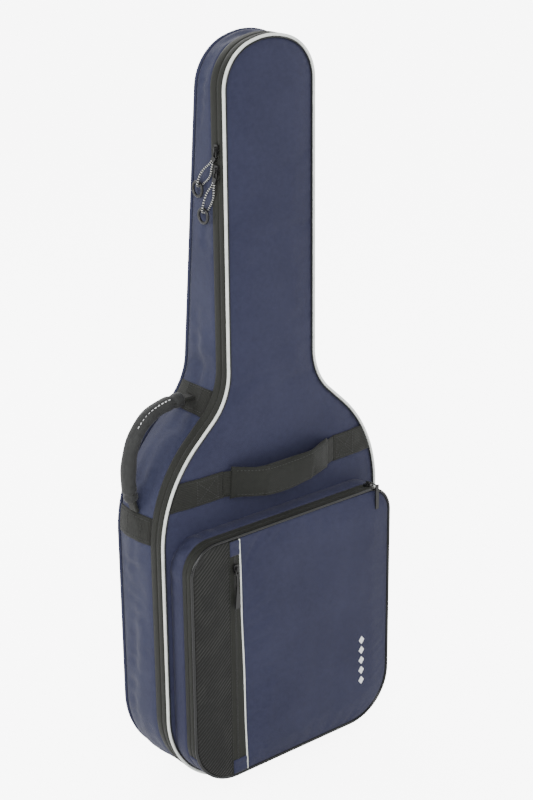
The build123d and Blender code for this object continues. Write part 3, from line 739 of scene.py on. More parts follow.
def bagCorners(b):
    half = wallHigh.x
    lean = math.radians(b["shoulderAngle"])
    shoulder = b["shoulderStart"] + b["shoulderRadius"] * math.tan(lean / 2)
    root = shoulder + (half - b["neckHalf"]) / math.tan(lean)
    crown = math.atan2(b["headDrop"], b["neckHalf"])
    apex = wallHigh.z + b["crownRadius"] * (1 / math.cos(crown) - 1)
    right = [(half, wallLow.z, b["bottomRadius"]), (half, shoulder, b["shoulderRadius"]),
             (b["neckHalf"], root, b["neckRootRadius"]),
             (b["neckHalf"], apex - b["headDrop"], b["headRadius"])]
    return right + [(0.0, apex, b["crownRadius"])] + [(-x, z, r) for x, z, r in reversed(right)]


bagLoop = roundLoop(bagCorners(bag), 0.005)


def backAt(z):
    # Y of the back face, which leans forwards above the body
    slope = (2 * backFace - bag["headDepth"]) / (wallHigh.z - bag["backBend"])
    return backFace - slope * np.maximum(0.0, z - bag["backBend"])


def inHinge(x, z, inside=0.0):
    return x > 0 and bag["hingeLow"] + inside < z < bag["hingeHigh"] - inside


# lid: padded front panel, lining, piping, zip band

lid = {"crown": 0.0042, "crownReach": 0.04, "seamDip": 0.0022, "seamReach": 0.0035, "waves": 0.0011,
       "handleDip": 0.7, "dipReach": 0.045, "rows": 170, "cols": 50, "slack": 0.006, "pressure": 3.0,
       "cap": 0.0026, "pipingInset": 0.0010, "pipingFat": -0.0004, "shadowCordRadius": 0.0009, "shadowCordInset": 0.0043}
zipBand = {"inner": 0.0011, "lidPuff": 0.0008, "wallPuff": 0.0009, "underHinge": 0.005, "teethInset": 0.002,
           "teethUnderHinge": 0.008}


def besideHinge(x, z):
    return not inHinge(x, z, zipBand["underHinge"])


def lidSkin(x, z, d):
    # Y of the front panel's outer face
    place = np.stack([x, 0 * x, z], -1)
    low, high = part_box("front_handle_sleeve")
    under = np.exp(-((z - (low.z + high.z) / 2) / lid["dipReach"]) ** 2)
    swell = lid["crown"] * (1 - np.exp(-d / lid["crownReach"])) * (1 - lid["handleDip"] * under)
    dip = lid["seamDip"] * np.exp(-d / lid["seamReach"])
    fade = smooth(d / 0.03)
    slant = place @ np.array([[0.9, 0, -0.45], [0, 1, 0], [0.45, 0, 0.9]])
    waves = softNoise(slant * np.array([1, 1, 2.1]), 0.10, 1) + 0.5 * softNoise(place, 0.045, 2)
    waist = np.exp(-((z - 0.60) / 0.05) ** 2) * softNoise(place * np.array([0.5, 1, 3.0]), 0.035, 3)
    return frontFace - swell + dip - fade * lid["waves"] * (waves + 1.2 * waist)


def makeLid():
    x, z = panelRows(bagLoop, bag["seam"], lid["rows"], lid["cols"])
    d = edgeDistance(bagLoop, x, z, bag["seam"])
    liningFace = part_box("front_panel_lining")[0].y
    panel = panelObject("lid_panel", x, z, lidSkin(x, z, d), np.full_like(x, liningFace - 0.0002), m["blue"])
    held = np.concatenate([d < 0.004, np.ones_like(d, bool)], 1).ravel()
    billow(panel, held, pressure=lid["pressure"], cap=lid["cap"], slack=lid["slack"])
    finishPiece(panel, "lid", "blue_fabric", "front_panel_fabric", "front_panel_foam", pad=0.7)
    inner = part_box("front_panel_lining")[1].y
    ripple = 0.0006 * softNoise(np.stack([x, 0 * x, z], -1), 0.05, 5) * smooth(d / 0.02)
    lining = panelObject("lid_lining", x, z, np.full_like(x, liningFace), inner + ripple, m["lining"])
    finishPiece(lining, "lid", "lining", "front_panel_lining")
    radius = (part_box("front_piping")[1].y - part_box("front_piping")[0].y) / 2 + lid["pipingFat"]
    piping = sweepLoop("lid_piping", bagLoop, cordSection(radius, lid["pipingInset"], frontFace), m["pale"])
    finishPiece(piping, "lid", "light_piping", "front_piping")
    # a thin dark cord along the inner side of the piping: painted shade for the shadow gap between piping and
    # panel, partly the dark inner edge of the piping's fabric
    seam = cordSection(lid["shadowCordRadius"], lid["shadowCordInset"], frontFace - 0.0006, 8)
    edge = sweepLoop("lid_piping_shadow_cord", bagLoop, seam, m["dark"])
    finishPiece(edge, "lid", "dark_piping")
    low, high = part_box("lid_zip_tape")
    section = tapeSection(0, zipBand["inner"], low.y, high.y, zipBand["lidPuff"])
    band = sweepLoop("lid_zip_band", bagLoop, section, m["zipBand"], keep=besideHinge)
    finishPiece(band, "lid", "zip_tape", "lid_zip_tape")
    teeth("lid_zip_teeth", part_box("lid_zip_coil")[1].y - 0.0006, "lid", "lid_zip_coil")


def teeth(name, y, body, *replaced):
    # nylon zip teeth just inside a tape's edge, open at the hinge
    ring = outlineRing(bagLoop, zipBand["teethInset"], y)
    covered = [inHinge(p[0], p[2], zipBand["teethUnderHinge"]) for p in ring]
    start = next(i for i in range(len(ring)) if not covered[i] and covered[i - 1])
    order = [(start + k) % len(ring) for k in range(len(ring))]
    path = [ring[i] for i in order if not covered[i]]
    row = alongPaths(name, [path], m["teeth"], 0.0021, 0.0013, 0.0016, 0.0013)
    finishPiece(row, body, "zip_coil", *replaced)


# shell: side wall, back panel, linings, piping

shell = {"bulge": 0.0032, "creases": 0.0050, "neckFlat": 0.85, "neckFrom": 0.64, "seamDip": 0.0012,
         "rearGap": 0.0027, "foamInner": 0.0092, "foamOuter": 0.0014, "liningInner": 0.0103,
         "liningOuter": 0.0016, "liningThick": 0.0009, "backCrown": 0.0022, "backDeep": 0.0091,
         "pipingRadius": 0.0025, "patchOver": 0.0016, "patchRear": 0.0052, "sewnRear": 0.008}


def wallOut(x, z, y, t):
    # how far the side wall stands out at places across it, t running from the zip to the back seam
    here = np.stack([np.full_like(y, x), y, np.full_like(y, z)], -1)
    flat = shell["neckFlat"] * smooth((z - shell["neckFrom"]) / 0.04)
    belly = (1.0 + 0.6 * math.exp(-((z - 0.47) / 0.09) ** 2)) * (1 - flat)
    broad = softNoise(here * np.array([1, 2.6, 0.5]), 0.055, 7)
    fine = softNoise(here * np.array([1, 1, 1.6]), 0.02, 8)
    folds = np.minimum(broad + 0.5 * fine, 0.2 * (1 - flat)) * smooth((z - 0.003) / 0.03)
    pinch = math.exp(-((z - 0.605) / 0.018) ** 2)
    arch = np.sin(np.pi * t)
    swell = shell["bulge"] * belly * arch ** 0.8 * smooth((z - 0.003) / 0.05)
    seam = shell["seamDip"] * np.exp(-np.minimum(t, 1 - t) / 0.03)
    return swell * (1 - 0.9 * pinch) - seam + shell["creases"] * folds * arch - 0.002 * pinch * arch


def wallSection(x, z, over=0.0, low=None, rear=None, count=14):
    tapeBack = wallLow.y if low is None else low
    end = backAt(z) - (shell["rearGap"] if rear is None else rear)
    t = np.linspace(0, 1, count)
    y = tapeBack + (end - tapeBack) * t
    whole = backAt(z) - shell["rearGap"]
    out = wallOut(x, z, y, np.clip((y - wallLow.y) / (whole - wallLow.y), 0, 1)) + over
    return list(zip(-out, y)), end


def makeWall():
    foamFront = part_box("gusset_foam")[0].y

    def padSection(i, x, z):
        outside, end = wallSection(x, z)
        deep = shell["foamInner"]
        shallow = shell["foamOuter"]
        inside = [(deep, end), (deep, (end + wallLow.y) / 2), (deep, wallLow.y), (deep, foamFront),
                  (shallow, foamFront), (shallow, wallLow.y - 0.0004)]
        return outside + inside

    # the wall takes the paler copy of the blue polyester, with painted light in its colour
    wall = sweepLoop("shell_wall", bagLoop, padSection, m["bluePaintedLighter"])
    finishPiece(wall, "shell", "blue_fabric", "gusset_fabric", "gusset_foam", pad=0.6)

    def liningSection(i, x, z):
        thick, shallow, deep = shell["liningThick"], shell["liningOuter"], shell["liningInner"]
        low, behind, end = foamFront - thick, foamFront - 0.0001, backAt(z) - 0.0105
        return [(shallow, low), (deep, low), (deep, (low + end) / 2), (deep, end), (deep - thick, end),
                (deep - thick, behind), (shallow, behind)]

    lining = sweepLoop("wall_lining", bagLoop, liningSection, m["lining"])
    finishPiece(lining, "shell", "lining", "gusset_lining")
    low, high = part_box("gusset_zip_tape")
    section = tapeSection(0, zipBand["inner"], low.y, high.y, zipBand["wallPuff"])
    band = sweepLoop("shell_zip_band", bagLoop, section, m["zipBand"], keep=besideHinge)
    finishPiece(band, "shell", "zip_tape", "gusset_zip_tape")
    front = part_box("lid_zip_tape")[0].y
    section = tapeSection(-0.0002, 0.0009, front, high.y, zipBand["wallPuff"], 14)
    hinge = sweepLoop("hinge_fold", bagLoop, section, m["bluePaintedLighter"], keep=inHinge)
    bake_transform(hinge)
    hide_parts("hinge_strip")
    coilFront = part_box("gusset_zip_coil")[0].y
    teeth("shell_zip_teeth", coilFront + 0.0006, "shell", "gusset_zip_coil", "zip_end_stops")


def makeBack():
    x, z = panelRows(bagLoop, bag["seam"], 110, 40)
    d = edgeDistance(bagLoop, x, z, bag["seam"])
    place = np.stack([x, 0 * x, z], -1)
    swell = shell["backCrown"] * (1 - np.exp(-d / 0.05)) - 0.0016 * np.exp(-d / 0.004)
    outer = backAt(z) + swell + 0.0009 * smooth(d / 0.03) * softNoise(place, 0.08, 11)
    inner = backAt(z) - shell["backDeep"]
    panel = panelObject("back_panel", x, z, outer, inner, m["blue"])
    finishPiece(panel, "shell", "blue_fabric", "back_panel_fabric", "back_panel_foam", pad=0.6)
    lining = panelObject("back_lining", x, z, inner - 0.0001, inner - shell["liningThick"], m["lining"])
    finishPiece(lining, "shell", "lining", "back_panel_lining")

    def pipingSection(i, x, z):
        return roundSection(shell["pipingRadius"], 0.001, backAt(z))

    piping = sweepLoop("back_seam_piping", bagLoop, pipingSection, m["bluePaintedLighter"])
    finishPiece(piping, "shell", "blue_fabric", "back_piping")


# side grip and its webbing patches

grip = {"route": [(-0.0945, 0.5695), (-0.128, 0.571), (-0.168, 0.560), (-0.195, 0.526), (-0.202, 0.482),
                  (-0.199, 0.452), (-0.1925, 0.431)],
        "radius": 0.0104, "bare": 0.016, "hem": 0.012, "hemDip": 0.16, "hemWidth": 0.003, "endDip": 0.12,
        "endReach": 0.002, "strapWidth": 0.019, "strapThick": 0.0052, "marksFrom": 0.10, "marksTo": 0.40}


def makeGrip():
    low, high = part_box("side_grip")
    y = (low.y + high.y) / 2
    path = splinePath([(x, y, z) for x, z in grip["route"]], 20)
    along = np.concatenate([[0], np.cumsum(np.linalg.norm(np.diff(path, axis=0), axis=1))])
    cut = (along > grip["bare"]) & (along < along[-1] - grip["bare"])
    padPath = path[cut]
    length = along[-1] - 2 * grip["bare"]

    def radius(t):
        end = min(t, 1 - t) * length
        hem = 1 - grip["hemDip"] * math.exp(-((end - grip["hem"]) / grip["hemWidth"]) ** 2)
        rim = 1 - grip["endDip"] * math.exp(-end / grip["endReach"])
        return grip["radius"] * hem * (1 + 0.05 * math.sin(23 * t + 1) * math.sin(7 * t)) * rim

    profile = roundProfile(radius, 26)
    cover = sweepPath("grip_cover", padPath, profile, m["grip"], side=(0, 1, 0))
    finishPiece(cover, "side_handle", "grip_fabric", "side_grip", pad=0.9)
    flat = flatProfile(grip["strapWidth"], grip["strapThick"])
    core = sweepPath("grip_strap", path, flat, m["webbing"], side=(0, 1, 0))
    finishPiece(core, "side_handle", "black_webbing", "side_grip_core")
    tangent, across, out = pathFrames(padPath, (0, 1, 0))
    inward = np.sign(out @ np.array([1, 0, 0.0]))[:, None] * out
    seam = padPath + inward * grip["radius"] * 0.97
    sewn = alongPaths("grip_seam_stitches", [seam], m["thread"], 0.0045, 0.0032, 0.0011)
    finishPiece(sewn, "side_handle", "grip_fabric")
    marked = slice(int(len(padPath) * grip["marksFrom"]), int(len(padPath) * grip["marksTo"]))
    lifted = padPath[marked] + (-inward[marked] * 0.75 + np.array([0, -0.66, 0])) * grip["radius"] * 0.985
    dashes = alongPaths("grip_pale_dashes", [lifted], m["motif"], 0.0058, 0.0040, 0.0019, 0.0008)
    finishPiece(dashes, "side_handle", "light_piping")


def sidePatch(name, node):
    low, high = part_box(node)

    def section(i, x, z):
        outer, end = wallSection(x, z, shell["patchOver"], rear=shell["patchRear"])
        inner, end = wallSection(x, z, 0.0001, rear=shell["patchRear"])
        return outer + inner[::-1]

    fine = roundLoop(bagCorners(bag), 0.0025)
    patch = sweepLoop(name, fine, section, m["webbing"], keep=lambda x, z: x < 0 and low.z < z < high.z)
    finishPiece(patch, "shell", "black_webbing", node)
    rows = []
    for p, n in zip(fine["points"], fine["normals"]):
        if p[0] < 0 and low.z + 0.003 < p[1] < high.z - 0.003:
            outer, end = wallSection(p[0], p[1], shell["patchOver"] + 0.0002, rear=shell["sewnRear"],
                                     low=wallLow.y + 0.003)
            rows.append([(p[0] - n[0] * a, y, p[1] - n[1] * a) for a, y in outer])
    rows = [rows[0], rows[-1]] + [[row[k] for row in rows] for k in (3, 9)]
    sewn = alongPaths(name + "_stitches", rows, m["thread"], 0.0042, 0.0030, 0.0009, 0.0007, lift=(-1, 0, 0))
    finishPiece(sewn, "shell", "black_webbing")


# front handle

handle = {"thick": 0.0017, "sleeveWidth": 0.043, "sleeveThick": 0.0052, "boxLeft": (-0.134, -0.100),
          "boxRight": (0.112, 0.142), "inset": 0.0052, "lift": 0.0003, "proud": 0.0012, "endReach": 0.022,
          "hem": 0.0175, "sides": 28, "pressure": 2.0, "cap": 0.003, "slack": 0.012}


def surfaceY(name, x, z):
    # Y of a finished piece's front at places given by x and z
    piece = bpy.data.objects[name]
    hits = [piece.ray_cast(Vector((a, -0.3, b)), Vector((0, 1, 0))) for a, b in zip(np.ravel(x), np.ravel(z))]
    return np.array([place.y if hit else frontFace for hit, place, *_ in hits])


def makeFrontHandle():
    low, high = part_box("front_handle_anchors")
    middle, half = (low.z + high.z) / 2, (high.z - low.z) / 2
    coreLow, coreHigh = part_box("front_handle_webbing")
    sleeveLow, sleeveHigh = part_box("front_handle_sleeve")
    start, end = coreLow.x, coreHigh.x
    level = coreLow.y + 0.0012
    rootY = surfaceY("lid_panel", start, middle)[0] - handle["thick"]

    def skinPatch(name, inner, side):
        z = np.repeat(middle + np.linspace(-half, half, 14)[:, None], 26, 1)
        outer = side * (np.interp(z[:, 0], *sortedRight()) - handle["inset"])
        share = np.linspace(0, 1, 26)[None, :]
        x = inner + (outer[:, None] - inner) * share
        y = surfaceY("lid_panel", x, z).reshape(x.shape) - handle["lift"]
        y = np.minimum(y, frontFace - handle["proud"])
        return panelObject(name, x, z, y - handle["thick"], y, m["webbing"])

    left = skinPatch("handle_anchor_left", start - 0.0005, -1)
    finishPiece(left, "lid", "black_webbing", "front_handle_anchors")
    right = skinPatch("handle_anchor_right", end + 0.0005, 1)
    finishPiece(right, "lid", "black_webbing")
    paths = []
    for a, b in (handle["boxLeft"], handle["boxRight"]):
        c, d = middle - half + 0.004, middle + half - 0.004
        for p, q in (((a, c), (b, c)), ((b, c), (b, d)), ((b, d), (a, d)), ((a, d), (a, c)),
                     ((a, c), (b, d)), ((a, d), (b, c))):
            line = [(p[0] + (q[0] - p[0]) * t, p[1] + (q[1] - p[1]) * t) for t in np.linspace(0, 1, 12)]
            ys = surfaceY("lid_panel", *zip(*line)) - handle["lift"]
            ys = np.minimum(ys, frontFace - handle["proud"]) - handle["thick"] - 0.0001
            paths.append([(x, y, z) for (x, z), y in zip(line, ys)])
    sewn = alongPaths("handle_anchor_stitches", paths, m["thread"], 0.0036, 0.0027, 0.0010, 0.0007)
    finishPiece(sewn, "lid", "black_webbing")

    def arch(x):
        t = np.clip((np.asarray(x) - start) / (end - start), 0, 1)
        rise = np.clip(np.sin(np.pi * np.clip(t, 0, 1)) * 1.25, 0, 1)
        return rootY + (level - rootY) * rise

    strapX = np.linspace(start - 0.001, end + 0.001, 60)
    strapPath = np.stack([strapX, arch(strapX), np.full_like(strapX, middle)], 1)
    flat = flatProfile(2 * half - 0.001, handle["thick"])
    pieces = [("handle_end_left", strapPath[:14], (start, start + handle["endReach"])),
              ("handle_end_right", strapPath[-14:], (end, end - handle["endReach"]))]
    for name, path, (a, b) in pieces:
        piece = sweepPath(name, path, flat, m["webbing"], side=(0, 0, 1))
        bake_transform(piece)
        if name.endswith("left"):
            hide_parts("front_handle_webbing")
    strap = sweepPath("handle_strap", strapPath[12:-12], flat, m["webbing"], side=(0, 0, 1))
    finishPiece(strap, "front_handle", "black_webbing")
    sleeveX = np.linspace(sleeveLow.x - 0.010, sleeveHigh.x + 0.002, 64)
    t = np.linspace(0, 1, len(sleeveX))
    drop = -0.0035 * np.sin(np.pi * t) + 0.0015 * np.cos(2.4 * np.pi * t)
    sleevePath = np.stack([sleeveX, arch(sleeveX) - 0.0008, middle + drop], 1)
    rng = np.random.default_rng(4)
    wobble = rng.normal(0, 1, 8)

    def sleeveProfile(t):
        flare = 1 + 0.10 * math.exp(-t / 0.05) + 0.05 * math.exp(-(1 - t) / 0.04)
        w, h = handle["sleeveWidth"] * flare / 2, handle["sleeveThick"] / 2
        pinch = 0.5 + 0.5 * (1 - math.exp(-min(t, 1 - t) / 0.08))
        turns = [2 * math.pi * k / handle["sides"] for k in range(handle["sides"])]
        wave = 0.12 * sum(wobble[k] * math.sin((k + 1) * math.pi * t) for k in range(8)) / 3
        out = []
        for a in turns:
            u = w * math.copysign(abs(math.cos(a)) ** 0.55, math.cos(a))
            v = h * math.copysign(abs(math.sin(a)) ** 0.7, math.sin(a)) * (1.1 * pinch)
            ripple = 0.0022 * math.sin(2.2 * a * 0.5 + wave * 9) * (1 - pinch * 0.4) * 0.4
            out.append((u, v + ripple + wave * 0.002))
        return out

    sleeve = sweepPath("handle_sleeve", sleevePath, sleeveProfile, m["sleeve"], side=(0, 0, 1))
    count = len(sleeve.data.vertices)
    held = np.zeros(count, bool)
    ends = handle["sides"] * 3
    held[:ends] = held[-ends:] = True
    billow(sleeve, held, pressure=handle["pressure"], cap=handle["cap"], slack=handle["slack"])
    finishPiece(sleeve, "front_handle", "ribbed_fabric", "front_handle_sleeve", pad=0.4)
    hemRows = []
    for side in (1, -1):
        row = sleevePath[3:-3].copy()
        row[:, 2] += side * handle["hem"]
        row[:, 1] = surfaceY("handle_sleeve", row[:, 0], row[:, 2]) - 0.0001
        hemRows.append(row)
    sewn = alongPaths("handle_sleeve_stitches", hemRows, m["thread"], 0.005, 0.0034, 0.0010, 0.0007)
    finishPiece(sewn, "front_handle", "ribbed_fabric")


def sortedRight():
    half = bagLoop["points"][bagLoop["points"][:, 0] >= 0]
    half = half[np.argsort(half[:, 1], kind="stable")]
    return half[:, 1], half[:, 0]


# front pocket

pocketLow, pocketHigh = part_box("pocket_gusset")
pocket = {"topRadius": 0.042, "bottomRadius": 0.072, "puff": 0.0012, "blueFrom": 0.085, "crown": 0.0042,
          "seam": 0.0031, "trimX": -0.0936, "trimLean": 0.023, "ribPitch": 0.0062, "ribHeight": 0.0010,
          "ribLean": 0.9, "pucker": 0.0022, "puckerPitch": 0.0042, "bandInner": 0.0014, "bandPuff": 0.0006,
          "underFold": 0.006, "trimRadius": 0.0013, "trimGap": 0.0012, "trimMiddle": 0.217, "beyond": 9.0,
          "pressure": 3.0, "cap": 0.003, "slack": 0.004}
pocketLoop = roundLoop([(pocketHigh.x, pocketLow.z, pocket["bottomRadius"]),
                        (pocketHigh.x, pocketHigh.z, pocket["topRadius"]),
                        (-pocketHigh.x, pocketHigh.z, pocket["topRadius"]),
                        (-pocketHigh.x, pocketLow.z, pocket["bottomRadius"])], 0.0035)
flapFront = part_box("flap_panel")[0].y
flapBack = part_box("flap_foam")[1].y


def trimAt(z):
    return pocket["trimX"] - (np.asarray(z) - pocket["trimMiddle"]) * pocket["trimLean"]


def pocketBand(name, yLow, yHigh, material, puff, keep=None, pucker=0.0):
    # a band round the pocket, puckered near its upper left corner
    def section(i, x, z):
        corner = math.exp(-((x + 0.15) / 0.035) ** 2 - ((z - 0.375) / 0.045) ** 2)
        ripple = pucker * corner * math.sin(pocketLoop["along"][i] / pocket["puckerPitch"])
        share = {1: 0.4, 2: 1.0, 3: 1.0, 4: 1.0, 5: 0.4}
        band = bandSection(0, pocket["bandInner"], yLow, yHigh, puff, 7)
        return [(a - ripple * share.get(k, 0.0), y) for k, (a, y) in enumerate(band)]
    return sweepLoop(name, pocketLoop, section, material, keep=keep)


def flapGrid(rows, cols, left, right):
    # a grid between two edges given by height, inside the pocket's outline
    x, z = panelRows(pocketLoop, pocket["seam"], rows, cols)
    wide = x[:, -1]
    a = np.maximum(left(z[:, 0]), -wide)
    b = np.minimum(right(z[:, 0]), wide)
    use = b - a > 0.002
    share = (x[use] + wide[use][:, None]) / (2 * wide[use][:, None])
    return a[use][:, None] + (b - a)[use][:, None] * share, z[use]


def makePocket():
    tapeLow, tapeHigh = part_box("pocket_zip_tape")
    edgeLow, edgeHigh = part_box("flap_edge_zip_tape")

    def above(x, z):
        return z > pocket["blueFrom"] - pocket["underFold"]

    gusset = pocketBand("pocket_wall", pocketLow.y, frontFace + 0.001, m["blue"], pocket["puff"] * 1.6,
                        pucker=pocket["pucker"])
    finishPiece(gusset, "lid", "blue_fabric", "pocket_gusset", pad=0.3)
    band = pocketBand("pocket_zip_band", tapeLow.y, tapeHigh.y, m["zipBand"], pocket["bandPuff"], keep=above)
    finishPiece(band, "lid", "zip_tape", "pocket_zip_tape")
    band = pocketBand("flap_zip_band", edgeLow.y, edgeHigh.y, m["zipBand"], pocket["bandPuff"], keep=above)
    finishPiece(band, "pocket_flap", "zip_tape", "flap_edge_zip_tape")
    section = tapeSection(-0.0004, 0.0012, edgeLow.y, tapeHigh.y, 0.001, 12)
    fold = sweepLoop("flap_fold", pocketLoop, section, m["blue"], keep=lambda x, z: z <= pocket["blueFrom"])
    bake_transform(fold)
    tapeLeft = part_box("flap_ribbed_panel")[1].x
    x, z = flapGrid(120, 56, lambda z: trimAt(z) + 0.0016, lambda z: np.full_like(z, pocket["beyond"]))
    d = np.minimum(edgeDistance(pocketLoop, x, z, pocket["seam"]), x - trimAt(z) - pocket["trimGap"])
    place = np.stack([x, 0 * x, z], -1)
    swell = pocket["crown"] * (1 - np.exp(-d / 0.04)) - 0.0014 * np.exp(-d / 0.003)
    waves = softNoise(place * np.array([1, 1, 0.8]), 0.07, 21)
    waves += 0.4 * softNoise(place * np.array([2.4, 1, 0.5]), 0.05, 22)
    front = flapFront - swell - 0.0010 * waves * smooth(d / 0.03)
    panel = panelObject("flap_panel_padded", x, z, front, np.full_like(x, flapBack), m["blue"])
    held = np.concatenate([d < 0.003, np.ones_like(d, bool)], 1).ravel()
    billow(panel, held, pressure=pocket["pressure"], cap=pocket["cap"], slack=pocket["slack"])
    finishPiece(panel, "pocket_flap", "blue_fabric", "flap_panel", "flap_foam", pad=0.6)

    x, z = flapGrid(320, 44, lambda z: np.full_like(z, -pocket["beyond"]),
                    lambda z: np.full_like(z, tapeLeft))
    d = edgeDistance(pocketLoop, x, z, pocket["seam"])
    swell = 0.0016 * (1 - np.exp(-np.minimum(d, tapeLeft + 0.001 - x) / 0.012)) - 0.0010 * np.exp(-d / 0.003)
    ribbed = panelObject("ribbed_panel", x, z, flapFront - swell, np.full_like(x, flapBack), m["ribbed"])
    runTree(ribbed, trees["ribs"], Pitch=pocket["ribPitch"], Height=pocket["ribHeight"],
            Lean=pocket["ribLean"], Front=flapFront + 0.001, Material=m["ribbed"])
    finishPiece(ribbed, "pocket_flap", "ribbed_fabric", "flap_ribbed_panel")

    x, z = flapGrid(120, 16, lambda z: np.full_like(z, tapeLeft + 0.0002),
                    lambda z: trimAt(z) - pocket["trimGap"])
    across = (x - x[:, :1]) / (x[:, -1:] - x[:, :1])
    lips = 0.0005 * np.exp(-((across - 0.5) / 0.2) ** 2)
    front = flapFront - 0.0001 - lips
    tape = panelObject("flap_zip_strip", x, z, front, np.full_like(x, flapBack), m["zipBand"])
    finishPiece(tape, "pocket_flap", "zip_tape", "flap_zip_tape")
    coilLow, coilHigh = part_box("flap_zip_coil")
    middle = (coilLow.x + coilHigh.x) / 2
    y = coilLow.y + 0.0003
    rows = [[(middle + s * 0.0008, y, z) for z in (coilLow.z, coilHigh.z)] for s in (-1, 1)]
    coil = alongPaths("flap_zip_teeth", rows, m["teeth"], 0.0016, 0.0011, 0.0017, 0.0010)
    finishPiece(coil, "pocket_flap", "zip_coil", "flap_zip_coil")
    makeTabs()
    low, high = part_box("flap_trim_piping")
    trimZ = np.linspace(low.z, high.z, 60)
    trimX = trimAt(trimZ) + 0.0004 * np.sin(trimZ * 40)
    trimPath = np.stack([trimX, np.full_like(trimZ, flapFront + 0.0001), trimZ], 1)
    profile = roundProfile(lambda t: pocket["trimRadius"], 12)
    trim = sweepPath("flap_trim", trimPath, profile, m["pale"], side=(1, 0, 0))
    finishPiece(trim, "pocket_flap", "light_piping", "flap_trim_piping")
    low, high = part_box("flap_edge_piping")
    section = cordSection((high.y - low.y) / 2, 0.001, (high.y + low.y) / 2, 12)
    edge = sweepLoop("flap_piping", pocketLoop, section, m["dark"])
    finishPiece(edge, "pocket_flap", "dark_piping", "flap_edge_piping")
    makeMotif()
    ring = outlineRing(pocketLoop, -0.0004, frontFace - 0.0075)
    sewn = alongPaths("pocket_base_stitches", [ring], m["blueThread"], 0.0042, 0.0030, 0.0009, closed=True)
    finishPiece(sewn, "lid", "blue_fabric")
    line = [(tapeLeft + 0.0022, flapFront - 0.0005, z)
            for z in np.linspace(coilLow.z - 0.01, coilHigh.z + 0.01, 30)]
    sewn = alongPaths("flap_zip_stitches", [line], m["thread"], 0.004, 0.0029, 0.0009, 0.0007)
    finishPiece(sewn, "pocket_flap", "zip_tape")


def makeTabs():
    # folded fabric ends of the upright zip
    low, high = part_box("flap_zip_tabs")
    coilLow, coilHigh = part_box("flap_zip_coil")
    parts = []
    for a, b in ((low.z, coilLow.z), (coilHigh.z, high.z)):
        x, z = np.meshgrid(np.linspace(0, 1, 14), np.linspace(a, b, 16))
        x = low.x + x * (trimAt(z) - 0.0014 - low.x)
        share = (z - a) / (b - a)
        rim = np.minimum.reduce([x - low.x, z - a, b - z])
        front = low.y - 0.0010 * (1 - np.exp(-rim / 0.0016)) - 0.0004 * np.sin(share * 9)
        parts.append(panelObject("flap_tab", x, z, front, np.full_like(x, high.y), m["blue"]))
    tabs = joined("flap_zip_tabs_folded", parts)
    finishPiece(tabs, "pocket_flap", "blue_fabric", "flap_zip_tabs")


def joined(name, parts):
    with bpy.context.temp_override(active_object=parts[0], selected_editable_objects=parts):
        bpy.ops.object.join()
    parts[0].name = parts[0].data.name = name
    return parts[0]


motif = {"x": 0.120, "low": 0.104, "pitch": 0.0165, "count": 5, "size": 0.0052}


def makeMotif():
    # a plain column of diamonds printed on the pocket
    parts = []
    for k in range(motif["count"]):
        z = motif["low"] + k * motif["pitch"]
        s = motif["size"]
        ring = [(motif["x"] + s * a, z + s * 1.25 * b) for a, b in ((0, -1), (1, 0), (0, 1), (-1, 0))]
        heights = surfaceY("flap_panel_padded", *zip(*ring))
        points = [(px, y + lift, pz) for lift in (-0.0004, 0.0006) for (px, pz), y in zip(ring, heights)]
        faces = [(0, 1, 2, 3), (7, 6, 5, 4)] + [(i, i + 4, (i + 1) % 4 + 4, (i + 1) % 4) for i in range(4)]
        mark = meshObject("diamond", points, faces, [(0, 0)] * 24, m["motif"])
        mark.data.polygons.foreach_set("use_smooth", [False] * len(mark.data.polygons))
        parts.append(mark)
    finishPiece(joined("pocket_diamonds", parts), "pocket_flap", "light_piping")


def ribTree():
    # raises slanted ribs on the front of a panel
    tree = bpy.data.node_groups.new("slanted_ribs", "GeometryNodeTree")
    face = tree.interface
    face.new_socket("Geometry", in_out="INPUT", socket_type="NodeSocketGeometry")
    for name in ("Pitch", "Height", "Lean", "Front"):
        face.new_socket(name, in_out="INPUT", socket_type="NodeSocketFloat")
    face.new_socket("Material", in_out="INPUT", socket_type="NodeSocketMaterial")
    face.new_socket("Geometry", in_out="OUTPUT", socket_type="NodeSocketGeometry")
    given = tree.nodes.new("NodeGroupInput").outputs
    link = tree.links.new

    def sums(operation, a, b=None):
        n = tree.nodes.new("ShaderNodeMath")
        n.operation = operation
        for k, value in enumerate((a, b)):
            if isinstance(value, bpy.types.NodeSocket):
                link(value, n.inputs[k])
            elif value is not None:
                n.inputs[k].default_value = value
        return n.outputs[0]

    place = tree.nodes.new("ShaderNodeSeparateXYZ")
    link(tree.nodes.new("GeometryNodeInputPosition").outputs[0], place.inputs[0])
    x, y, z = place.outputs
    slant = sums("SUBTRACT", z, sums("MULTIPLY", x, given["Lean"]))
    turns = sums("MULTIPLY", sums("DIVIDE", slant, given["Pitch"]), 2 * math.pi)
    rise = sums("POWER", sums("ADD", sums("MULTIPLY", sums("SINE", turns), 0.5), 0.5), 0.7)
    height = sums("MULTIPLY", rise, sums("MULTIPLY", given["Height"], -1.0))
    offset = tree.nodes.new("ShaderNodeCombineXYZ")
    link(height, offset.inputs[1])
    move = tree.nodes.new("GeometryNodeSetPosition")
    link(given["Geometry"], move.inputs["Geometry"])
    link(sums("LESS_THAN", y, given["Front"]), move.inputs["Selection"])
    link(offset.outputs[0], move.inputs["Offset"])
    real = tree.nodes.new("GeometryNodeRealizeInstances")
    link(move.outputs[0], real.inputs[0])
    paint = tree.nodes.new("GeometryNodeSetMaterial")
    link(real.outputs[0], paint.inputs[0])
    link(given["Material"], paint.inputs["Material"])
    link(paint.outputs[0], tree.nodes.new("NodeGroupOutput").inputs[0])
    return tree


# zip pulls

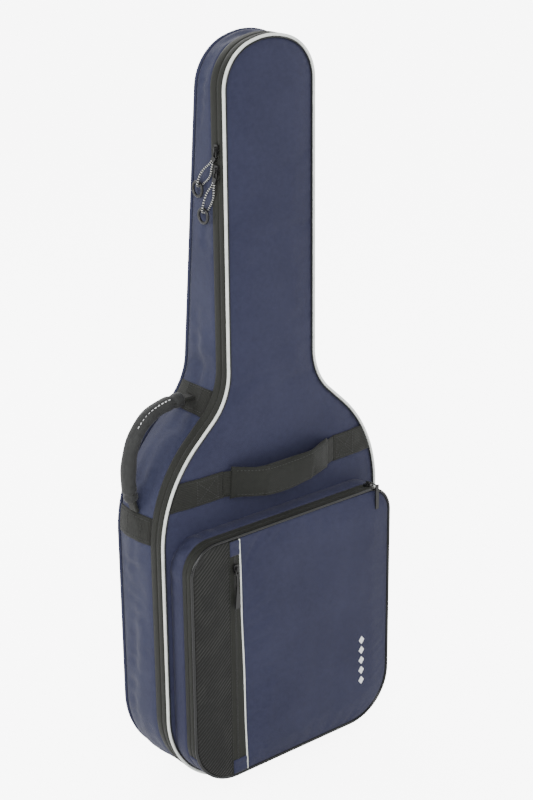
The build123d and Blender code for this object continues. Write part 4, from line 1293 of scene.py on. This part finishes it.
pull = {"cordRadius": 0.00125, "clampStart": 0.0093, "neckHalf": 0.075,
        "upper": {"z": 0.912, "tilt": 37.0, "length": 0.1022, "route": [
            (8.0, 1.7, 4.5), (14.6, 1.7, 4.5), (26.0, 5.4, 6.6), (38.0, 5.0, 9.0), (47.5, 1.8, 10.1),
            (55.0, 0.3, 10.0), (55.0, -0.3, 1.6), (46.5, -1.9, 1.7), (37.0, -5.4, 2.0),
            (25.5, -5.6, 2.6), (14.4, -1.7, 4.5), (8.0, -1.7, 4.5)]},
        "lower": {"z": 0.885, "tilt": 25.0, "length": 0.1013, "route": [
            (8.0, 1.7, 4.5), (14.2, 1.7, 4.5), (25.0, 5.0, 6.4), (36.5, 3.4, 9.2), (47.0, 1.4, 10.0),
            (55.0, 0.4, 9.9), (55.0, -0.4, 1.6), (47.0, -2.4, 1.7), (36.0, -4.6, 2.0),
            (25.0, -4.8, 2.8), (14.0, -1.7, 4.5), (8.0, -1.7, 4.5)]}}  # along, across and out, in millimetres


def pullPlace(c, along, across, height):
    lean = math.radians(c["tilt"])
    low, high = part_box("main_slider_upper")
    y = (low.y + high.y) / 2 + (along * math.sin(lean) + across * math.cos(lean)) / 1000
    z = c["z"] - pull["clampStart"] + (across * math.sin(lean) - along * math.cos(lean)) / 1000
    return (-pull["neckHalf"] - height / 1000, y, z)


def makePulls():
    for side in ("upper", "lower"):
        c = pull[side]
        route = [pullPlace(c, *p) for p in c["route"]]
        path = splinePath(route, 10)
        cord = sweepPath(f"cord_{side}", path, roundProfile(lambda t: pull["cordRadius"], 10), m["cord"])
        finishPiece(cord, f"{side}_pull", "pull_cord", f"pull_cord_{side}")


# straps on the back

strap = {"squeeze": 0.55, "voxel": 0.0045, "pressure": 4.0, "cap": 0.0035}


def makeStraps():
    for side in ("left", "right"):
        node = nodes[f"strap_pad_{side}"]
        pad = node.copy()
        pad.data = node.data.copy()
        pad.name = pad.data.name = f"strap_pad_{side}_soft"
        pad.parent = None
        pad.matrix_world = Matrix.Identity(4)
        scene.collection.objects.link(pad)
        bm = bmesh.new()
        bm.from_mesh(pad.data)
        bmesh.ops.remove_doubles(bm, verts=bm.verts, dist=1e-5)
        centre = sum((v.co for v in bm.verts), Vector()) / len(bm.verts)
        for v in bm.verts:
            v.co.y = centre.y + (v.co.y - centre.y) * strap["squeeze"]
        bm.to_mesh(pad.data)
        bm.free()
        remesh = pad.modifiers.new("remesh", "REMESH")
        remesh.mode = "VOXEL"
        remesh.voxel_size = strap["voxel"]
        bake(pad)
        pad.data.materials.clear()
        pad.data.materials.append(m["blueFlat"])
        loose = np.zeros(len(pad.data.vertices), bool)
        billow(pad, loose, pressure=strap["pressure"], cap=strap["cap"], slack=0.0)
        pad.modifiers.new("subdivision", "SUBSURF")
        bake(pad)
        pad.data.polygons.foreach_set("use_smooth", [True] * len(pad.data.polygons))
        finishPiece(pad, f"{side}_strap", "blue_fabric", f"strap_pad_{side}", pad=0.8)


def paintHardware():
    # hardware and webbing that keep their own shapes
    painted = {
        "metal": ("main_slider_upper", "main_slider_lower", "pull_clamp_upper", "pull_clamp_lower",
                  "flap_slider", "pocket_slider"),
        "rubber": ("flap_slider_pull", "pocket_slider_pull", "pull_ring_upper", "pull_ring_lower"),
        "plastic": ("strap_adjuster_left", "strap_adjuster_right"),
        "webbingFlat": ("strap_webbing_left", "strap_webbing_right", "strap_top_anchor",
                        "strap_foot_anchors"),
        "guard": ("base_guard",),
        "protector": ("headstock_protector", "bridge_protector")}
    for key, names in painted.items():
        for name in names:
            mesh = nodes[name].data
            mesh.materials.clear()
            mesh.materials.append(m[key])


trees = {"along": alongTree(), "ribs": ribTree()}
m = makeMaterials()
makeCamera(camera)
makeLight(light)
print("camera, light and materials ready")
makePulls()
paintHardware()
print("zip pulls ready")
makeLid()
makeWall()
makeBack()
print("bag body ready")
makeGrip()
sidePatch("anchor_lower", "side_anchor_lower")
sidePatch("anchor_upper", "side_anchor_upper")
makeFrontHandle()
print("handles ready")
makePocket()
print("pocket ready")
makeStraps()
print("straps ready")
bpy.ops.mesh.primitive_plane_add(size=light["floorWidth"], location=(0, 0, 0))
floor = bpy.context.object
floor.data.materials.append(m["floor"])
